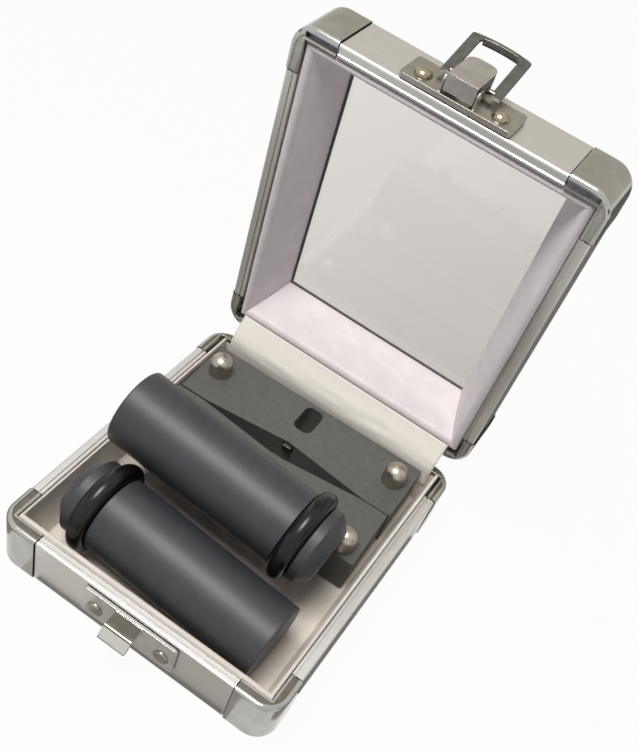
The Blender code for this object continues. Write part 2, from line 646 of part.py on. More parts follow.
def build_jaw(name, centre, turn_deg, notch_side, peg_y, plate_finish, peg_finish):
    """Jaw plate with its two pegs and its contact block; notch_side is the sign of the notched edge in Y."""
    axis = add_empty(name + "_place", (centre[0], centre[1], 0.0))
    axis.rotation_euler.z = math.radians(turn_deg)
    plate = add_piece(name + "_plate", prism(jaw_outline(notch_side), JAW_LOW, JAW_HIGH), plate_finish, axis)
    slot_y = -notch_side * SLOT_Y
    slot = rounded_rectangle(-SLOT_WIDTH / 2, SLOT_WIDTH / 2,
                             slot_y - SLOT_LENGTH / 2, slot_y + SLOT_LENGTH / 2, SLOT_RADIUS)
    cutters = [prism(slot, JAW_LOW - CUT_OVER, JAW_HIGH + CUT_OVER)]
    bore_low = JAW_HIGH - PEG_SHANK_DEPTH
    bore_radius = PEG_SHANK_RADIUS + GAP
    head_low = JAW_HIGH + GAP
    head_high = JAW_HIGH + PEG_RISE
    for label, side in (("left", -1), ("right", 1)):
        place = Matrix.Translation((side * PEG_X, -notch_side * peg_y, 0.0))
        bore = turned([(bore_radius, bore_low), (bore_radius, JAW_HIGH + CUT_OVER)], SMALL_SIDES)
        cutters.append(moved(bore, place))
        profile = [(PEG_SHANK_RADIUS, bore_low + GAP), (PEG_SHANK_RADIUS, head_low), (PEG_RADIUS, head_low)]
        profile += [(PEG_RADIUS - inward, head_high - down) for inward, down in PEG_CROWN]
        peg = moved(turned(profile, ROUND_SIDES), place)
        add_piece(name + "_peg_" + label, peg, peg_finish, axis, smooth=True)
    root = notch_side * (JAW_WIDTH / 2 - NOTCH_DEPTH)
    low, high = CONTACT_HEIGHT
    span = sorted((root - notch_side * CONTACT_DEPTH, root + notch_side * CONTACT_CUT_OVER))
    seat = rounded_rectangle(-CONTACT_HALF - GAP, CONTACT_HALF + GAP, *span, CONTACT_CORNER)
    cutters.append(prism(seat, low - GAP, high + GAP))
    join_shape(plate, merge(*cutters), "DIFFERENCE")
    span = sorted((root - notch_side * (CONTACT_DEPTH - GAP), root + notch_side * CONTACT_PROUD))
    block = rounded_rectangle(-CONTACT_HALF, CONTACT_HALF, *span, CONTACT_CORNER)
    add_piece(name + "_contact_block", prism(block, low, high), peg_finish, axis)


def build_plug(name, end, aim_deg, body_finish, rubber):
    """Turned plug lying along its aim, given as azimuth and elevation, from its flat end."""
    azimuth, elevation = (math.radians(angle) for angle in aim_deg)
    aim = Vector((math.cos(azimuth) * math.cos(elevation), math.sin(azimuth) * math.cos(elevation),
                  math.sin(elevation)))
    axis = add_empty(name + "_axis", end)
    axis.rotation_mode = "QUATERNION"
    axis.rotation_quaternion = aim.to_track_quat("Z", "Y")
    seat = PLUG_RADIUS - RING_SECTION - GAP
    groove = RING_SECTION + GAP
    groove_low = RING_STATION - groove
    groove_high = RING_STATION + groove
    nose_drop, nose_run = PLUG_NOSE
    profile = [(PLUG_RADIUS - PLUG_EDGE, 0.0), (PLUG_RADIUS, PLUG_EDGE), (PLUG_RADIUS, groove_low),
               (seat, groove_low), (seat, groove_high), (PLUG_RADIUS, groove_high),
               (PLUG_RADIUS, PLUG_LENGTH - nose_run), (PLUG_RADIUS - nose_drop, PLUG_LENGTH)]
    add_piece(name + "_body", turned(profile, ROUND_SIDES), body_finish, axis, smooth=True)
    ring = ring_body(PLUG_RADIUS, RING_SECTION, ROUND_SIDES, SECTION_SIDES)
    ring = moved(ring, Matrix.Translation((0, 0, RING_STATION)))
    add_piece(name + "_o_ring", ring, rubber, axis, smooth=True)


def main():
    clear_scene()
    rail_finish = finish("satin_aluminium", "b6b3ae", 0.35, 1.0)
    casting_finish = finish("plated_casting", "a4a29d", 0.18, 1.0)
    pan_finish = finish("black_sheet", "3a3a3a", 0.6)
    lining_finish = finish("cream_lining", "efe8e0", 0.9)
    lid_lining_finish = finish("white_lining", "f3e9ec", 0.9)
    window_finish = finish("clear_acrylic", "e4e2de", 0.05, 0.0, 0.25)
    steel = finish("hinge_steel", "a8a7a4", 0.3, 1.0)
    plated = finish("nickel_sheet", "a9a69e", 0.22, 1.0)
    rivet_finish = finish("rivet_nickel", "a79f88", 0.2, 1.0)
    plate_finish = finish("grey_jaw_plastic", "62615d", 0.6)
    peg_finish = finish("nickel_peg", "b9b4aa", 0.2, 1.0)
    plug_finish = finish("dark_grey_plug", "4a4c50", 0.45)
    rubber = finish("black_rubber", "1e1c1c", 0.3)

    lid_axis = add_empty("lid_hinge_axis", (0, HINGE_Y, HINGE_Z), None, -LID_OPEN_DEG)
    build_frame("base", BASE_HEIGHT, base_place, None, CORNER_LENGTH, rail_finish, casting_finish)
    build_base_panels(pan_finish, lining_finish)
    build_frame("lid", LID_HEIGHT, lid_place, lid_axis, LID_HINGE_CORNER_LENGTH, rail_finish, casting_finish)
    build_lid_panels(lid_axis, window_finish, lid_lining_finish)
    build_hinge(lid_axis, steel)
    build_hinge_cover(lining_finish)
    build_latch(lid_axis, plated, rivet_finish)
    build_keeper(plated, rivet_finish)
    build_jaw("jaw_1", JAW_1_CENTRE, JAW_1_TURN_DEG, -1, JAW_1_PEG_Y, plate_finish, peg_finish)
    build_jaw("jaw_2", JAW_2_CENTRE, JAW_2_TURN_DEG, 1, JAW_2_PEG_Y, plate_finish, peg_finish)
    build_plug("plug_1", PLUG_1_END, PLUG_1_AIM_DEG, plug_finish, rubber)
    build_plug("plug_2", PLUG_2_END, PLUG_2_AIM_DEG, plug_finish, rubber)


main()
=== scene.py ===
# %% [markdown]
# # A tube testing kit in a small aluminium case
# The object is an instrument case with a clear lid, standing open. In its tray lie a pair of turned plugs
# with O-rings and a pair of notched jaw plates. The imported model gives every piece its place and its
# motion. This lesson dresses that model: it rebuilds what the eye sees with finer edges, soft cloth and
# real finishes.

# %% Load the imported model
import json
import math

import bmesh
import bpy
from mathutils import Matrix, Vector, noise


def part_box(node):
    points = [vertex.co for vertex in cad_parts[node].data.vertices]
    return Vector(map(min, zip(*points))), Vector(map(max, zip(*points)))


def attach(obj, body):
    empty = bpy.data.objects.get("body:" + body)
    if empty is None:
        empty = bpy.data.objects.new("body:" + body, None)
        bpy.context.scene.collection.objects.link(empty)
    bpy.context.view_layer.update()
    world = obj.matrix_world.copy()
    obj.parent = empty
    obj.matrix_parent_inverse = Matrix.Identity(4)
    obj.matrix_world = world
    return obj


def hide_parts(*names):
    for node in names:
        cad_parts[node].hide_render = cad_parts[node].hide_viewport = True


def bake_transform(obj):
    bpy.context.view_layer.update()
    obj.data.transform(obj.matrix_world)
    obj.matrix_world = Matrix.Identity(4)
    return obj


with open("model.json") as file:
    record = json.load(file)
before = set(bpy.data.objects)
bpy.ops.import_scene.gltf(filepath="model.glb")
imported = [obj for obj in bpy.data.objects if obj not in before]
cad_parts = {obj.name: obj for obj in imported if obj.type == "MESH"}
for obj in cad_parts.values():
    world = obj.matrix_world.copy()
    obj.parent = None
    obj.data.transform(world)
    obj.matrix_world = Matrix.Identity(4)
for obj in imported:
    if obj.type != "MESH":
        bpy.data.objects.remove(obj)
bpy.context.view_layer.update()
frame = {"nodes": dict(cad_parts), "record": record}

MM = 0.001
bodies = frame["record"]["behaviour"]["bodies"]
body_of_node = {node: body for body, nodes in bodies.items() for node in nodes}

# %% [markdown]
# ## The camera
# The picture was taken from above the latch edge, a little to the right, and seems to be cropped: its
# optical centre lies off the middle of the frame, so a lens shift is the honest way to get it back. The
# numbers come from fitting a pinhole camera to the seams between the rails and the corner castings.

# %% Camera
PICTURE_PX = (639, 750)
FOCAL_PX = 959.5
OPTICAL_CENTRE_PX = (300.6, 481.6)
SENSOR_MM = 36.0
CAMERA_MM = (65.146, -176.256, 262.126)
CAMERA_RIGHT = Vector((0.817157, 0.525765, 0.236276))
CAMERA_UP = Vector((-0.550014, 0.588576, 0.592506))
NEAREST_SEEN_M = 0.01


def linked(name, data):
    """A new object in the scene that holds this data."""
    thing = bpy.data.objects.new(name, data)
    bpy.context.scene.collection.objects.link(thing)
    return thing


long_side = max(PICTURE_PX)
lens = bpy.data.cameras.new("photo_lens")
lens.sensor_width = SENSOR_MM
lens.lens = FOCAL_PX * SENSOR_MM / long_side
lens.shift_x = (PICTURE_PX[0] / 2 - OPTICAL_CENTRE_PX[0]) / long_side
lens.shift_y = (OPTICAL_CENTRE_PX[1] - PICTURE_PX[1] / 2) / long_side
lens.clip_start = NEAREST_SEEN_M
camera = linked("photo_camera", lens)
turn = Matrix((CAMERA_RIGHT, CAMERA_UP, CAMERA_RIGHT.cross(CAMERA_UP))).transposed()
camera.matrix_world = Matrix.Translation(Vector(CAMERA_MM) * MM) @ turn.to_4x4()
bpy.context.scene.camera = camera
bpy.context.scene.view_settings.view_transform = "Standard"
print("lens mm", round(lens.lens, 2), "shift", round(lens.shift_x, 4), round(lens.shift_y, 4))

# %% [markdown]
# ## Node and colour helpers
# Every finish below is a small node tree. One function adds a node, sets its sockets or properties and
# links its inputs. Colours are written as sRGB hex, the way a picture editor shows them, and turned to
# linear light here. Pattern sizes are written in millimetres: a noise texture of scale S repeats about
# every 1/S metres.

# %% Helpers for finishes
def add(tree, kind, settings=None, links=None):
    """Add one node with its settings and incoming links."""
    made = tree.nodes.new(kind)
    for key, value in (settings or {}).items():
        if isinstance(key, int) or key in made.inputs:
            made.inputs[key].default_value = value
        else:
            setattr(made, key, value)
    for key, source in (links or {}).items():
        tree.links.new(source, made.inputs[key])
    return made


def srgb(hex_colour):
    """Linear colour, with full alpha, of an sRGB hex value."""
    channels = [int(hex_colour[i:i + 2], 16) / 255 for i in (1, 3, 5)]
    return (*[c / 12.92 if c <= 0.04045 else ((c + 0.055) / 1.055) ** 2.4 for c in channels], 1.0)


def per_mm(size_mm):
    """Noise scale for features of this size, on coordinates in metres."""
    return 1.0 / (size_mm * MM)


def start_finish(name, hex_colour, roughness, metallic=0.0, **sockets):
    """A Principled material, its tree, its shader and the Object coordinates."""
    material = bpy.data.materials.new(name)
    material.use_nodes = True
    tree = material.node_tree
    shader = tree.nodes["Principled BSDF"]
    shader.inputs["Base Color"].default_value = srgb(hex_colour)
    shader.inputs["Roughness"].default_value = roughness
    shader.inputs["Metallic"].default_value = metallic
    for socket, value in sockets.items():
        shader.inputs[socket.replace("_", " ")].default_value = value
    place = add(tree, "ShaderNodeTexCoord").outputs["Object"]
    return material, tree, shader, place


def vary(tree, shader, tones=None, rough=None, relief=None, tone_span=(0.3, 0.7)):
    """Let height signals drive a finish.

    tones is (signal, low hex, high hex), and tone_span says where on the signal these two lie.
    rough is (signal, low, high), and relief is (signal, depth in mm, strength).
    """
    if tones:
        height, *hexes = tones
        ramp = add(tree, "ShaderNodeValToRGB", None, {"Fac": height})
        for element, position, hex_colour in zip(ramp.color_ramp.elements, tone_span, hexes):
            element.position = position
            element.color = srgb(hex_colour)
        tree.links.new(ramp.outputs["Color"], shader.inputs["Base Color"])
    if rough:
        height, low, high = rough
        spread = add(tree, "ShaderNodeMapRange", {"To Min": low, "To Max": high}, {"Value": height})
        tree.links.new(spread.outputs["Result"], shader.inputs["Roughness"])
    if relief:
        height, depth_mm, strength = relief
        bump = add(tree, "ShaderNodeBump", {"Strength": strength, "Distance": depth_mm * MM},
                   {"Height": height})
        tree.links.new(bump.outputs["Normal"], shader.inputs["Normal"])


print("finish helpers ready")

# %% [markdown]
# ## Metals
# The wall rails are extruded aluminium, brushed along their length and clear anodised: a satin grey with
# fine streaks that run with the rail. The corners are zinc castings with a chrome-like plate, smoother and
# a little darker, with the faint waviness of a cast surface. The latch is pressed steel with nickel plate,
# and its rivets have the warm tint of thin nickel. The streaks are noise stretched along the rail; a real
# brush line is finer than a pixel here, so it is drawn at a third of a millimetre to show.

# %% Metal finishes
BRUSH_LINE_MM = 0.35
BRUSH_RUN = 0.03
HANDLING_MARK_MM = 0.5
others = len(bpy.data.materials)


def satin_aluminium(name, run_axis):
    """Brushed and anodised extrusion: a soft satin whose streaks run along one axis."""
    material, tree, shader, place = start_finish(name, "#d2d0cc", 0.3, metallic=1.0)
    stretch = [BRUSH_RUN if axis == run_axis else 1.0 for axis in range(3)]
    along = add(tree, "ShaderNodeMapping", {"Scale": stretch}, {"Vector": place})
    grain = {"Scale": per_mm(BRUSH_LINE_MM), "Detail": 3.0, "Roughness": 0.6}
    brush = add(tree, "ShaderNodeTexNoise", grain, {"Vector": along.outputs["Vector"]}).outputs["Fac"]
    vary(tree, shader, (brush, "#cecbc7", "#d6d4d0"), (brush, 0.28, 0.38), (brush, 0.004, 0.3))
    return material


def plated_metal(name, dark_hex, light_hex, rough_low, rough_high, wave_mm, wave_depth_mm):
    """Plated casting or pressing: soft waviness, slight tone drift and fine handling marks."""
    material, tree, shader, place = start_finish(name, light_hex, rough_low, metallic=1.0)
    swell = {"Scale": per_mm(wave_mm), "Detail": 2.0}
    wave = add(tree, "ShaderNodeTexNoise", swell, {"Vector": place}).outputs["Fac"]
    scuff = {"Scale": per_mm(HANDLING_MARK_MM), "Detail": 4.0, "Roughness": 0.7}
    marks = add(tree, "ShaderNodeTexNoise", scuff, {"Vector": place}).outputs["Fac"]
    vary(tree, shader, (wave, dark_hex, light_hex), (marks, rough_low, rough_high),
         (wave, wave_depth_mm, 0.6))
    return material


ALUMINIUM = {axis: satin_aluminium("anodised_aluminium_along_" + "xyz"[axis], axis) for axis in range(3)}
# Polished plate over cast zinc: it mirrors the room, slightly bent by the wavy casting.
CASTING = plated_metal("chrome_plated_zinc", "#a6a49e", "#b5b3ae", 0.12, 0.2, 6.0, 0.03)
# Sunk land on the tray's rim: rougher than the plate, and painted greyer and darker as a dark reflection.
TRAY_LAND_PAINTED_DARK = plated_metal("tray_land_painted_dark_reflection", "#6c675b", "#7a756a", 0.22, 0.34, 3.0, 0.02)
# Satin plate on the lid's rim: spreads the light into one even tone.
LID_LAND = plated_metal("satin_zinc_land", "#a6a49e", "#b5b3ae", 0.45, 0.58, 3.0, 0.02)
# Ends of rails and castings in the seams: painted almost black as the seam's shade, so that a seam reads as
# a line.
SEAM_END_PAINTED_SHADE = plated_metal("seam_end_painted_shade", "#2d2b28", "#3a3834", 0.5, 0.7, 1.0, 0.02)
# Walls inside the slots of the latch corners: a broken mirror, painted darker and cooler than the plate as
# the slot's shade and a cool reflection.
SLOT_PAINTED_COOL_SHADE = plated_metal("slot_painted_cool_shade", "#77767a", "#9b9aa0", 0.12, 0.22, 2.0, 0.04)
# Bright nickel on the pressed lever: clear soft mirror.
LATCH_STEEL = plated_metal("nickel_plated_steel", "#b4b1aa", "#c4c2bc", 0.1, 0.18, 4.0, 0.015)
# Duller nickel on the latch's flat plate: mirrors only broad tones.
PLATE_STEEL = plated_metal("dull_nickel_sheet", "#9c988f", "#aaa69e", 0.2, 0.3, 4.0, 0.015)
# Darker nickel on the bent strip of the bail: sharp and dark, with a bright edge.
BAIL_STEEL = plated_metal("dark_nickel_strip", "#605e58", "#73716b", 0.1, 0.17, 3.0, 0.01)
# Nickel on the keeper: the palest of the sheets, painted paler as a bright reflection.
KEEPER_STEEL = plated_metal("keeper_nickel_painted_pale", "#c0bdb7", "#cecbc5", 0.14, 0.22, 4.0, 0.015)
# Top of the hook: dark and glassy, its darkness a painted dark reflection.
HOOK_TOP_PAINTED_DARK = plated_metal("hook_top_painted_dark_reflection", "#66625a", "#747067", 0.06, 0.11, 3.0, 0.005)
# Thin nickel over brass on the latch rivets: a warm tint, painted darker as a dark reflection.
RIVET_NICKEL = plated_metal("brassy_rivet_painted_dark", "#8d846d", "#a89f88", 0.12, 0.22, 1.5, 0.02)
# Keeper's rivets: grey and sharper, painted darker as a dark reflection.
KEEPER_NICKEL = plated_metal("grey_rivet_painted_dark", "#8f8a7f", "#a39e93", 0.1, 0.16, 1.5, 0.01)
# Turned and plated pegs: satin, with a broad highlight on the dome.
PEG_NICKEL = plated_metal("turned_nickel_peg", "#a39c8e", "#b3ac9f", 0.26, 0.36, 2.0, 0.004)
# Contact blocks: dark and dull, with hardly a glint.
CONTACT_NICKEL = plated_metal("dull_contact_block", "#57534c", "#65605a", 0.4, 0.55, 1.5, 0.01)
# Zinc plate on the hinge: plain grey and half matt.
HINGE_STEEL = plated_metal("zinc_plated_steel", "#9b9a98", "#acaba8", 0.24, 0.38, 3.0, 0.02)
print("metals", len(bpy.data.materials) - others)

# %% [markdown]
# ## Plastics, rubber and the clear lid
# The plugs and jaw plates are grey PVC, the plugs turned on a lathe and the plates milled. Turning leaves
# rings round the axis, so the plug finish reads an attribute that holds the distance along the axis.
# Milling leaves straight tool passes. Both are finer than a pixel on the real pieces, and are drawn at
# about half a millimetre to show. The O-rings are nitrile rubber, which is nearly black and quite glossy.
# The window is clear acrylic with a painted grey shade that drifts across it, and the dark line along two
# of its sides is a rubber seal.

# %% Plastic finishes
TURNING_RING_MM = 0.45
PVC_CLOUD_MM = 6.0
TOOL_PASS_MM = 0.6
TOOL_RUN = 0.05
PVC_GRAIN_MM = 2.5
MOULDING_MM = 2.5
SHADE_DRIFT_RUN_MM = 157.0
HAZE_MM = 40.0
PEBBLE_MM = 0.9


def turned_pvc():
    """Lathe rings round a dark grey bar: a soft sheen that breaks into rings near the highlight."""
    material, tree, shader, place = start_finish("turned_grey_pvc", "#393b3f", 0.44, Specular_IOR_Level=0.5)
    along = add(tree, "ShaderNodeAttribute", {"attribute_name": "along_axis"})
    feed = {"noise_dimensions": "1D", "Scale": per_mm(TURNING_RING_MM), "Detail": 3.0}
    rings = add(tree, "ShaderNodeTexNoise", feed, {"W": along.outputs["Fac"]}).outputs["Fac"]
    drift = {"Scale": per_mm(PVC_CLOUD_MM), "Detail": 3.0}
    cloud = add(tree, "ShaderNodeTexNoise", drift, {"Vector": place}).outputs["Fac"]
    vary(tree, shader, (cloud, "#36383c", "#3d3f43"), (rings, 0.4, 0.5), (rings, 0.008, 0.4))
    return material


def milled_pvc():
    """Straight tool passes over a paler grey: almost matt, with a faint grain."""
    material, tree, shader, place = start_finish("milled_grey_pvc", "#5b5a57", 0.55)
    passes = add(tree, "ShaderNodeMapping", {"Scale": (TOOL_RUN, 1.0, 1.0)}, {"Vector": place})
    tool = add(tree, "ShaderNodeTexNoise", {"Scale": per_mm(TOOL_PASS_MM), "Detail": 3.0},
               {"Vector": passes.outputs["Vector"]}).outputs["Fac"]
    fleck = {"Scale": per_mm(PVC_GRAIN_MM), "Detail": 5.0, "Roughness": 0.65}
    grain = add(tree, "ShaderNodeTexNoise", fleck, {"Vector": place}).outputs["Fac"]
    vary(tree, shader, (grain, "#555451", "#605f5c"), (tool, 0.48, 0.62), (tool, 0.012, 0.5))
    return material


def smooth_rubber(name, hex_colour, roughness, specular):
    """Moulded rubber: dark, with a soft glint and the slight unevenness of the mould."""
    material, tree, shader, place = start_finish(name, hex_colour, roughness, Specular_IOR_Level=specular)
    swell = {"Scale": per_mm(MOULDING_MM), "Detail": 2.0}
    mould = add(tree, "ShaderNodeTexNoise", swell, {"Vector": place}).outputs["Fac"]
    vary(tree, shader, None, (mould, roughness - 0.04, roughness + 0.06), (mould, 0.004, 0.4))
    return material


def clear_acrylic():
    """Clear sheet with a painted grey shade that drifts a little from corner to corner, and a trace of
    haze.
    """
    material, tree, shader, place = start_finish("clear_acrylic", "#cfccc7", 0.03, IOR=1.49,
                                                 Transmission_Weight=1.0)
    # The grey and its drift across the sheet are painted shade.
    split = add(tree, "ShaderNodeSeparateXYZ", None, {"Vector": place})
    across = add(tree, "ShaderNodeMath", {"operation": "SUBTRACT"},
                 {0: split.outputs["Z"], 1: split.outputs["X"]})
    drift = add(tree, "ShaderNodeMapRange", {"From Min": 0.0, "From Max": SHADE_DRIFT_RUN_MM * MM},
                {"Value": across.outputs["Value"]})
    haze = add(tree, "ShaderNodeTexNoise", {"Scale": per_mm(HAZE_MM), "Detail": 1.0}, {"Vector": place})
    vary(tree, shader, (drift.outputs["Result"], "#c9c3bf", "#e4e1dc"), (haze.outputs["Fac"], 0.01, 0.04),
         tone_span=(0.0, 1.0))
    return material


def textured_sheet():
    """Black embossed sheet: matt pebbles, with painted shade in their valleys."""
    material, tree, shader, place = start_finish("black_embossed_sheet", "#2a2a2b", 0.6)
    emboss = {"Scale": per_mm(PEBBLE_MM)}
    pebble = add(tree, "ShaderNodeTexVoronoi", emboss, {"Vector": place}).outputs["Distance"]
    vary(tree, shader, (pebble, "#232324", "#343435"), (pebble, 0.5, 0.7), (pebble, 0.08, 0.8), (0.1, 0.7))
    return material


PLUG_PVC = turned_pvc()
JAW_PVC = milled_pvc()
O_RING_RUBBER = smooth_rubber("nitrile_rubber", "#0d0c0c", 0.24, 0.35)
SEAL_RUBBER = smooth_rubber("grey_seal_rubber", "#4b4a48", 0.3, 0.5)
ACRYLIC = clear_acrylic()
BOTTOM_SHEET = textured_sheet()
print("plastics and rubbers ready")

# %% [markdown]
# ## Cloth
# The tray and the lid are lined with a short-pile flock cloth, cream in the tray and a cooler white in the
# lid, and a plain cotton tape bridges the hinge. Flock scatters light from its fibre tips, so it gets sheen
# and a fine bump of fibres. The pile is drawn at 0.3 mm, a little coarser than life, so that it shows.

# %% Cloth finishes
FIBRE_MM = 0.3
NAP_MM = 7.0
FIBRE_SHARE = 0.35
THREAD_MM = 0.25


def flock_cloth(name, shade_hex, light_hex):
    """Short pile: fine fibres over broad patches in which the nap lies one way or the other."""
    material, tree, shader, place = start_finish(name, light_hex, 0.92, Sheen_Weight=0.25,
                                                 Sheen_Roughness=0.5, Specular_IOR_Level=0.2)
    pile = {"Scale": per_mm(FIBRE_MM), "Detail": 4.0, "Roughness": 0.7}
    fibre = add(tree, "ShaderNodeTexNoise", pile, {"Vector": place}).outputs["Fac"]
    patch = {"Scale": per_mm(NAP_MM), "Detail": 3.0, "Distortion": 0.4}
    nap = add(tree, "ShaderNodeTexNoise", patch, {"Vector": place}).outputs["Fac"]
    share = add(tree, "ShaderNodeMath", {"operation": "MULTIPLY", 1: FIBRE_SHARE}, {0: fibre})
    tone = add(tree, "ShaderNodeMath", {"operation": "MULTIPLY_ADD", 1: 1 - FIBRE_SHARE},
               {0: nap, 2: share.outputs["Value"]})
    vary(tree, shader, (tone.outputs["Value"], shade_hex, light_hex), (fibre, 0.85, 1.0),
         (fibre, 0.06, 0.5), (0.35, 0.6))
    return material


def plain_tape():
    """Bleached cotton: a bright matt white with a hint of thread."""
    material, tree, shader, place = start_finish("white_cotton_tape", "#f6f3ef", 0.85, Sheen_Weight=0.2,
                                                 Specular_IOR_Level=0.2)
    spun = {"Scale": per_mm(THREAD_MM), "Detail": 3.0, "Roughness": 0.6}
    thread = add(tree, "ShaderNodeTexNoise", spun, {"Vector": place}).outputs["Fac"]
    vary(tree, shader, (thread, "#f7f2e9", "#fdf9f1"), (thread, 0.8, 0.95), (thread, 0.02, 0.4))
    return material


TRAY_FLOCK = flock_cloth("cream_flock", "#e9e1d7", "#f3ece3")
LID_FLOCK = flock_cloth("white_flock", "#eee6e9", "#f6eff1")
HINGE_TAPE = plain_tape()
print("cloths ready")

# %% [markdown]
# ## Shape helpers
# Most rigid pieces are a section swept along a path or turned about an axis. A skin through rings of points
# does both. Shapes are written in millimetres in the case's own frame. The lid's shapes are written as if
# it were shut and then turned about the hinge line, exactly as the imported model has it.

# %% Helpers for shapes
HALF_W = 50.0
HALF_D = 56.5
BASE_HEIGHT = 19.3
LID_HEIGHT = 18.7
LID_RIM = 0.4
HINGE_Y = 59.6
HINGE_Z = 19.1
LID_OPEN_DEG = 88.9
LID_SWING = Matrix.Rotation(math.radians(-LID_OPEN_DEG), 4, "X")
LID_TURN = Matrix.Translation((0, HINGE_Y, HINGE_Z)) @ LID_SWING


def base_place(x, y, v):
    """A point of the tray, v up from its underside."""
    return Vector((x, y, v))


def lid_place(x, y, v):
    """A point of the shut lid, v up from its outer face, carried to where the open lid is."""
    return LID_TURN @ Vector((x, y - HINGE_Y, LID_RIM + LID_HEIGHT - v))


def wall_point(place, side, lengthwise, inward, run, v):
    """A point this far in from one wall's outer face, at this place along the wall."""
    if lengthwise:
        return place(side * (HALF_W - inward), run, v)
    return place(run, side * (HALF_D - inward), v)


def skin(rings, loop=False):
    """A closed body through rings of equal point counts."""
    body = bmesh.new()
    rows = [[body.verts.new(point) for point in ring] for ring in rings]
    count = len(rows[0])
    pairs = list(zip(rows, rows[1:])) + ([(rows[-1], rows[0])] if loop else [])
    for low, high in pairs:
        for i in range(count):
            j = (i + 1) % count
            body.faces.new((low[i], low[j], high[j], high[i]))
    if not loop:
        body.faces.new(rows[0][::-1])
        body.faces.new(rows[-1])
    bmesh.ops.recalc_face_normals(body, faces=body.faces)
    return body


def arc(centre, radii, start_deg, end_deg, steps):
    """Points of an elliptic arc, both ends among them."""
    angles = [math.radians(start_deg + (end_deg - start_deg) * i / steps) for i in range(steps + 1)]
    return [(centre[0] + radii[0] * math.cos(a), centre[1] + radii[1] * math.sin(a)) for a in angles]


def turned(profile, sides, matrix):
    """Solid of revolution of (radius, height) points about Z, then placed."""
    angles = [2 * math.pi * i / sides for i in range(sides)]
    rings = [[Vector((r * math.cos(a), r * math.sin(a), z)) for a in angles] for r, z in profile]
    return skin([[matrix @ point for point in ring] for ring in rings])


print("lid swing deg", LID_OPEN_DEG)

# %% [markdown]
# ## From a shape to a piece
# A shape becomes a piece of the object when it has its finish, rides its body and stands for its solid.
# Edges of real pressings and mouldings are never sharp, so a bevel modifier can round them over. Its result
# is then taken as a plain mesh, since a finished piece keeps no modifier.

# %% Helpers for pieces
ALL_SMOOTH_DEG = 180.0
SHARP_EDGE_DEG = 30.0
FLAT_FACE_WEIGHT = 100
SAME_POINT_M = 1e-6
SAME_PLANE_DEG = 1.0


def mesh_object(name, shape, materials, scale=MM):
    """An object with this shape as its mesh, in metres."""
    mesh = bpy.data.meshes.new(name)
    shape.to_mesh(mesh)
    shape.free()
    mesh.transform(Matrix.Scale(scale, 4))
    for material in materials:
        mesh.materials.append(material)
    return linked(name, mesh)


def finished(name, shape, material, body, stands_for=(), smooth_deg=20.0, scale=MM, extra=()):
    """Turn a shape into a piece of the object that rides its body and stands for its solids."""
    piece = mesh_object(name, shape, (material, *extra), scale)
    piece.data.shade_smooth()
    piece.data.set_sharp_from_angle(angle=math.radians(smooth_deg))
    if body:
        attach(piece, body)
    if stands_for:
        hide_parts(*stands_for)
    return piece


def baked(piece):
    """Replace the mesh by what its modifiers make of it."""
    depsgraph = bpy.context.evaluated_depsgraph_get()
    mesh = bpy.data.meshes.new_from_object(piece.evaluated_get(depsgraph))
    piece.modifiers.clear()
    piece.data = mesh
    return piece


def joined(*shapes):
    """Several closed shapes as one."""
    whole = bmesh.new()
    for shape in shapes:
        mesh = bpy.data.meshes.new("part")
        shape.to_mesh(mesh)
        shape.free()
        whole.from_mesh(mesh)
        bpy.data.meshes.remove(mesh)
    return whole


def rounded_over(piece, edge_mm, segments=3):
    """Round the sharp edges of a finished piece, its flat faces still flat in the light."""
    edge = piece.modifiers.new("edge", "BEVEL")
    edge.width = edge_mm * MM
    edge.segments = segments
    edge.limit_method = "ANGLE"
    edge.angle_limit = math.radians(SHARP_EDGE_DEG)
    level = piece.modifiers.new("level", "WEIGHTED_NORMAL")
    level.mode = "FACE_AREA"
    level.weight = FLAT_FACE_WEIGHT
    return baked(piece)


def eased(node, edge_mm, material, slot, segments=3):
    """A solid's own shape with its sharp edges rounded over."""
    shape = bmesh.new()
    shape.from_mesh(frame["nodes"][node].data)
    bmesh.ops.remove_doubles(shape, verts=shape.verts, dist=SAME_POINT_M)
    bmesh.ops.dissolve_limit(shape, angle_limit=math.radians(SAME_PLANE_DEG), verts=shape.verts,
                             edges=shape.edges)
    piece = finished(node + "_eased", shape, material, body_of_node[node], [node], ALL_SMOOTH_DEG,
                     scale=1.0)
    return rounded_over(piece, edge_mm, segments)


print("piece helpers ready")

# %% [markdown]
# ## Rails
# Each half of the case has four extruded rails. Seen on its rim, a rail has a rounded outer edge, a flat
# land, a fine groove and a slim inner bead that holds the lining. The lid's latch rail has a wide shallow
# channel instead, which takes the rim of the tray when the lid is shut. A swept section gives all of them
# from a few sizes.

# %% Rails
CORNER = 14.0
LID_HINGE_CORNER = 12.0
SEAM = 0.35
WEB = 1.3
FLANGE = 1.2
FOOT = 3.6
RIM = 3.9
HINGE_RIM = 3.0
FOOT_ROUND = 0.6
EDGE_ROUND = 0.8
BEAD_ROUND = 0.25
EDGE_CLEAR = 0.3


def rail_section(height, rim, lands):
    """Section as (inward, height): foot, outer wall, rounded edge, lands on the rim, bead, inner flange."""
    section = arc((FOOT_ROUND, FOOT_ROUND), (FOOT_ROUND, FOOT_ROUND), 270, 180, 3)
    section += [(0.0, FOOT_ROUND + EDGE_CLEAR), (0.0, height - EDGE_ROUND - EDGE_CLEAR)]
    section += arc((EDGE_ROUND, height - EDGE_ROUND), (EDGE_ROUND, EDGE_ROUND), 180, 90, 5)
    section += [(inward, height - drop) for inward, drop in lands]
    section += arc((rim - BEAD_ROUND, height - BEAD_ROUND), (BEAD_ROUND, BEAD_ROUND), 90, 0, 3)
    section += [(rim, height - FLANGE), (WEB, height - FLANGE), (WEB, FLANGE), (FOOT, FLANGE), (FOOT, 0.0)]
    return section


